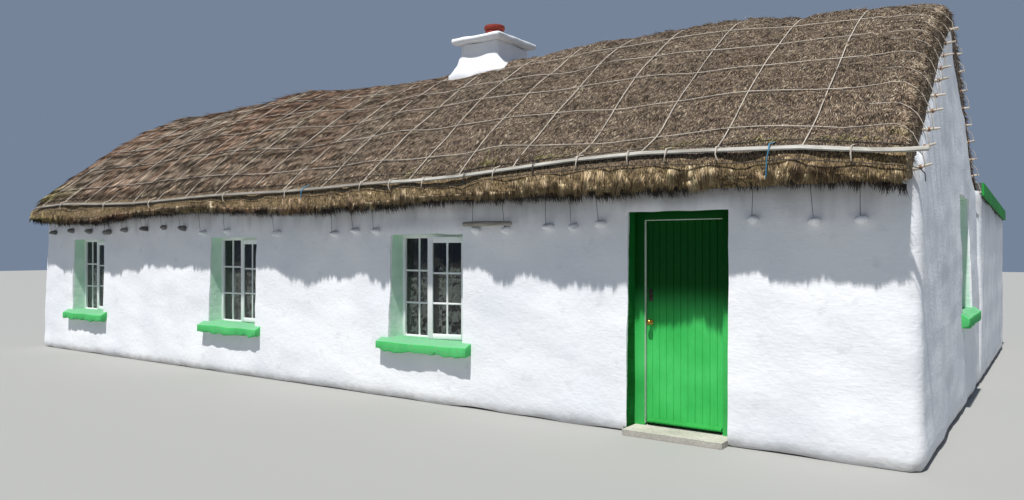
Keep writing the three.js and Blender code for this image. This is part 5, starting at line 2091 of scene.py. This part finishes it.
@dataclass
class FrontDoor:
    """The boarded green door in its frame, with its furniture."""

    left: float = 4.329
    right: float = 5.236
    head: float = 1.97
    frame_face: float = -2.25
    leaf_face: float = -2.215
    leaf_back: float = -2.165
    leaf_left: float = 4.415
    leaf_right: float = 5.153
    leaf_foot: float = 0.068
    leaf_top: float = 1.905
    sill_top: float = 0.0505
    jamb: float = 0.078
    head_jamb: float = 0.055
    stop: float = 0.014
    stop_depth: float = 0.03
    bedded: float = 0.012
    frame_soft: float = 0.003
    strip_width: float = 0.007
    boards: int = 11
    board_gap: float = 0.0002
    joint: float = 0.005
    hinge: Point = (5.1555, -2.156, 0.009)
    hinge_feet: Spot = (0.33, 1.64)
    knuckle: float = 0.045
    furniture_x: float = 4.467
    knob_height: float = 0.979
    lock_height: float = 1.223
    bar_fall: float = 0.024

    def leaf(self) -> bpy.types.Mesh:
        """Upright boards with V joints between them."""
        width = (self.leaf_right - self.leaf_left) / self.boards
        parts = []
        for number in range(self.boards):
            left = self.leaf_left + number * width
            low = (left + self.board_gap, self.leaf_face, self.leaf_foot)
            parts.append((low, (left + width - self.board_gap, self.leaf_back, self.leaf_top)))
        return boxes(*parts, soft=self.joint, segments=1)

    def frame(self) -> bpy.types.Mesh:
        """Jambs and head with the stops that the leaf shuts against."""
        stop_back = self.frame_face + self.stop_depth
        head, parts = self.head + self.bedded, []
        for jamb, head_jamb, front, back in (
            (self.jamb, self.head_jamb, stop_back - 0.002, self.leaf_back),
            (self.jamb + self.stop, self.head_jamb + self.stop, self.frame_face, stop_back),
        ):
            inner_left, inner_right = self.left + jamb, self.right - jamb
            parts += [
                ((self.left - self.bedded, front, self.sill_top), (inner_left, back, head)),
                ((inner_right, front, self.sill_top), (self.right + self.bedded, back, head)),
                ((inner_left, front, self.head - head_jamb), (inner_right, back, head)),
            ]
        return boxes(*parts, soft=self.frame_soft)

    def strip(self) -> bpy.types.Mesh:
        """The pale draught strip on the inner edge of the stops."""
        left, right = self.left + self.jamb + self.stop, self.right - self.jamb - self.stop
        top = self.head - self.head_jamb - self.stop
        front, back = self.frame_face - 0.001, self.leaf_face - 0.004
        upright = ((left, front, self.sill_top + 0.02), (left + self.strip_width, back, top))
        return boxes(upright, ((left, front, top - self.strip_width), (right, back, top)), soft=0.0015)

    def hinges(self, on_leaf: bool) -> bpy.types.Mesh:
        """Half of each hinge: a plate and its knuckle, on the leaf or on the frame."""
        x, y, radius = self.hinge
        way, high, soft = -1 if on_leaf else 1, self.knuckle, 0.001
        foot_half = [(0, 0), (radius - soft, 0), (radius, soft)]
        profile = [*foot_half, (radius, high - soft), (radius - soft, high), (0, high)]
        left, right = sorted((x + way * 0.004, x + way * 0.06))
        front, back = self.leaf_back - 0.0008, self.leaf_back + 0.004
        parts = []
        for foot in self.hinge_feet:
            low = foot + (high + 0.0005 if on_leaf else 0)
            parts.append((turned(profile, 16), Matrix.Translation((x, y, low))))
            parts.append(boxes(((left, front, low), (right, back, low + high)), soft=soft, segments=1))
        return joined(*parts)

    def knob(self, way: int) -> bpy.types.Mesh:
        """A turned knob with its rose, outside (-1) or inside (1)."""
        profile = [
            (0, 0), (0.0225, 0), (0.024, 0.0015), (0.0235, 0.004), (0.019, 0.006), (0.0115, 0.008),
            (0.0095, 0.014), (0.0105, 0.026), (0.016, 0.033), (0.0225, 0.039), (0.025, 0.046),
            (0.0248, 0.052), (0.0215, 0.058), (0.014, 0.062), (0.006, 0.0638), (0, 0.064),
        ]
        face = self.leaf_face - 0.0003 if way < 0 else self.leaf_back + 0.0003
        place = Matrix.Translation((self.furniture_x, face, self.knob_height))
        return placed(turned(profile, 32), place @ Matrix.Rotation(QUARTER * -way, 4, "X"))

    def lock(self) -> bpy.types.Mesh:
        """The lock plate with its keyhole boss and two screws."""
        x, height, face = self.furniture_x, self.lock_height, self.leaf_face - 0.0003
        low, high = (x - 0.018, face - 0.005, height - 0.054), (x + 0.018, face, height + 0.054)
        plate = boxes((low, high), soft=0.0015)
        outside = [(0, 0), (0.011, 0), (0.011, 0.003), (0.009, 0.005)]
        boss = turned([*outside, (0.004, 0.005), (0.004, 0.002), (0, 0.002)], 20)
        screw = turned([(0, 0), (0.005, 0), (0.004, 0.0018), (0, 0.002)], 12)
        turn = Matrix.Rotation(QUARTER, 4, "X")
        parts = [
            (piece, Matrix.Translation((x, face - 0.0048, height + over)) @ turn)
            for piece, over in ((boss, 0.012), (screw, -0.044), (screw, 0.044))
        ]
        return joined(plate, *parts)

    def weather_bar(self) -> bpy.types.Mesh:
        """The moulded bar that throws water off the foot of the door."""
        low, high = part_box("door_weather_bar")
        form = bmesh.new()
        add_box(form, low, high)
        for vert in form.verts:
            if vert.co.z > high.z - 0.01 and vert.co.y < low.y + 0.01:
                vert.co.z -= self.bar_fall
        front = [e for e in form.edges if all(v.co.y < low.y + 0.001 for v in e.verts)]
        bevelled(form, 0.006, 3, front)
        return to_mesh(form)

    def build(self) -> None:
        """Adds the frame to the house, and the leaf with its furniture to the door."""
        show("door_frame_joinery", self.frame(), DOOR_GREEN, ["door_frame"])
        show("door_draught_strip", self.strip(), PALE_STRIP)
        show("frame_hinges", self.hinges(False), DARK_METAL)
        show("door_boards", self.leaf(), DOOR_GREEN, ["door_leaf"], DOOR, crease=20)
        show("leaf_hinges", self.hinges(True), DARK_METAL, (), DOOR)
        show("door_weather_moulding", self.weather_bar(), FASCIA_GREEN, ["door_weather_bar"], DOOR)
        show("outer_knob", self.knob(-1), BRASS, ["door_knob_outer"], DOOR)
        show("inner_knob", self.knob(1), BRASS, ["door_knob_inner"], DOOR)
        show("lock_plate", self.lock(), DARK_METAL, ["door_lock_plate"], DOOR)


# Camera, light and floor


@dataclass
class Studio:
    """The pale floor, soft light and camera."""

    place: Point = (7.52, -8.76, 1.63)
    turn: float = 35.03
    lens: float = 27.67
    sun_way: Point = (0.03, -0.383, 0.923)
    sun_strength: float = 5.3
    sun_size: float = 1.2
    sun_colour: Point = (1.0, 0.98, 0.95)
    sky_strength: float = 0.32
    sky_colour: Colour = (0.56, 0.72, 1.0, 1.0)
    floor_colour: Colour = tint(150, 150, 147)

    def build(self) -> None:
        """Adds everything."""
        scene = bpy.context.scene
        scene.view_settings.view_transform = "Standard"
        scene.view_settings.look = "None"
        self.add_camera(scene)
        self.add_sun(scene)
        self.add_sky(scene)
        self.add_floor()

    def add_camera(self, scene: bpy.types.Scene) -> None:
        """Adds the camera at the photograph's viewing angle."""
        camera = bpy.data.objects.new("camera", bpy.data.cameras.new("camera"))
        camera.data.lens = self.lens
        camera.location = self.place
        camera.rotation_euler = (math.radians(90), 0, math.radians(self.turn))
        scene.collection.objects.link(camera)
        scene.camera = camera

    def add_sun(self, scene: bpy.types.Scene) -> None:
        """Adds the main light."""
        data = bpy.data.lights.new("sun", "SUN")
        data.energy = self.sun_strength
        data.angle = math.radians(self.sun_size)
        data.color = self.sun_colour
        sun = bpy.data.objects.new("sun", data)
        sun.rotation_euler = Vector(self.sun_way).to_track_quat("Z", "Y").to_euler()
        scene.collection.objects.link(sun)

    def add_sky(self, scene: bpy.types.Scene) -> None:
        """Adds an even, slightly blue light from all sides."""
        world = bpy.data.worlds.new("sky")
        world.use_nodes = True
        background = world.node_tree.nodes["Background"]
        background.inputs["Color"].default_value = self.sky_colour
        background.inputs["Strength"].default_value = self.sky_strength
        scene.world = world

    def add_floor(self) -> None:
        """Adds a plain pale floor."""
        form = bmesh.new()
        bmesh.ops.create_grid(form, x_segments=1, y_segments=1, size=60)
        mesh = to_mesh(form, "floor")
        paint = Paint("pale_floor")
        mesh.materials.append(paint.finish(Base_Color=self.floor_colour, Roughness=0.9))
        floor = bpy.data.objects.new("floor", mesh)
        floor.location.z = -0.002
        bpy.context.scene.collection.objects.link(floor)


def corners(box: Box) -> list[list[float]]:
    """A box as two plain lists of numbers."""
    return [[float(value) for value in end] for end in box]


def main() -> None:
    """Builds the cottage, one sub-assembly after another."""
    logging.basicConfig(level=logging.INFO, format="%(message)s")
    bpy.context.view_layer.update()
    Studio().build()
    form = ThatchForm()
    Masonry().build()
    Extension().build()
    Thatch(form).build()
    Ropes(form).build()
    Chimney().build()
    for opening in WINDOWS:
        Window(opening, ajar=13.0 if opening is WINDOWS[2] else 0.0).build()
    FrontDoor().build()


if __name__ == "__main__":
    main()
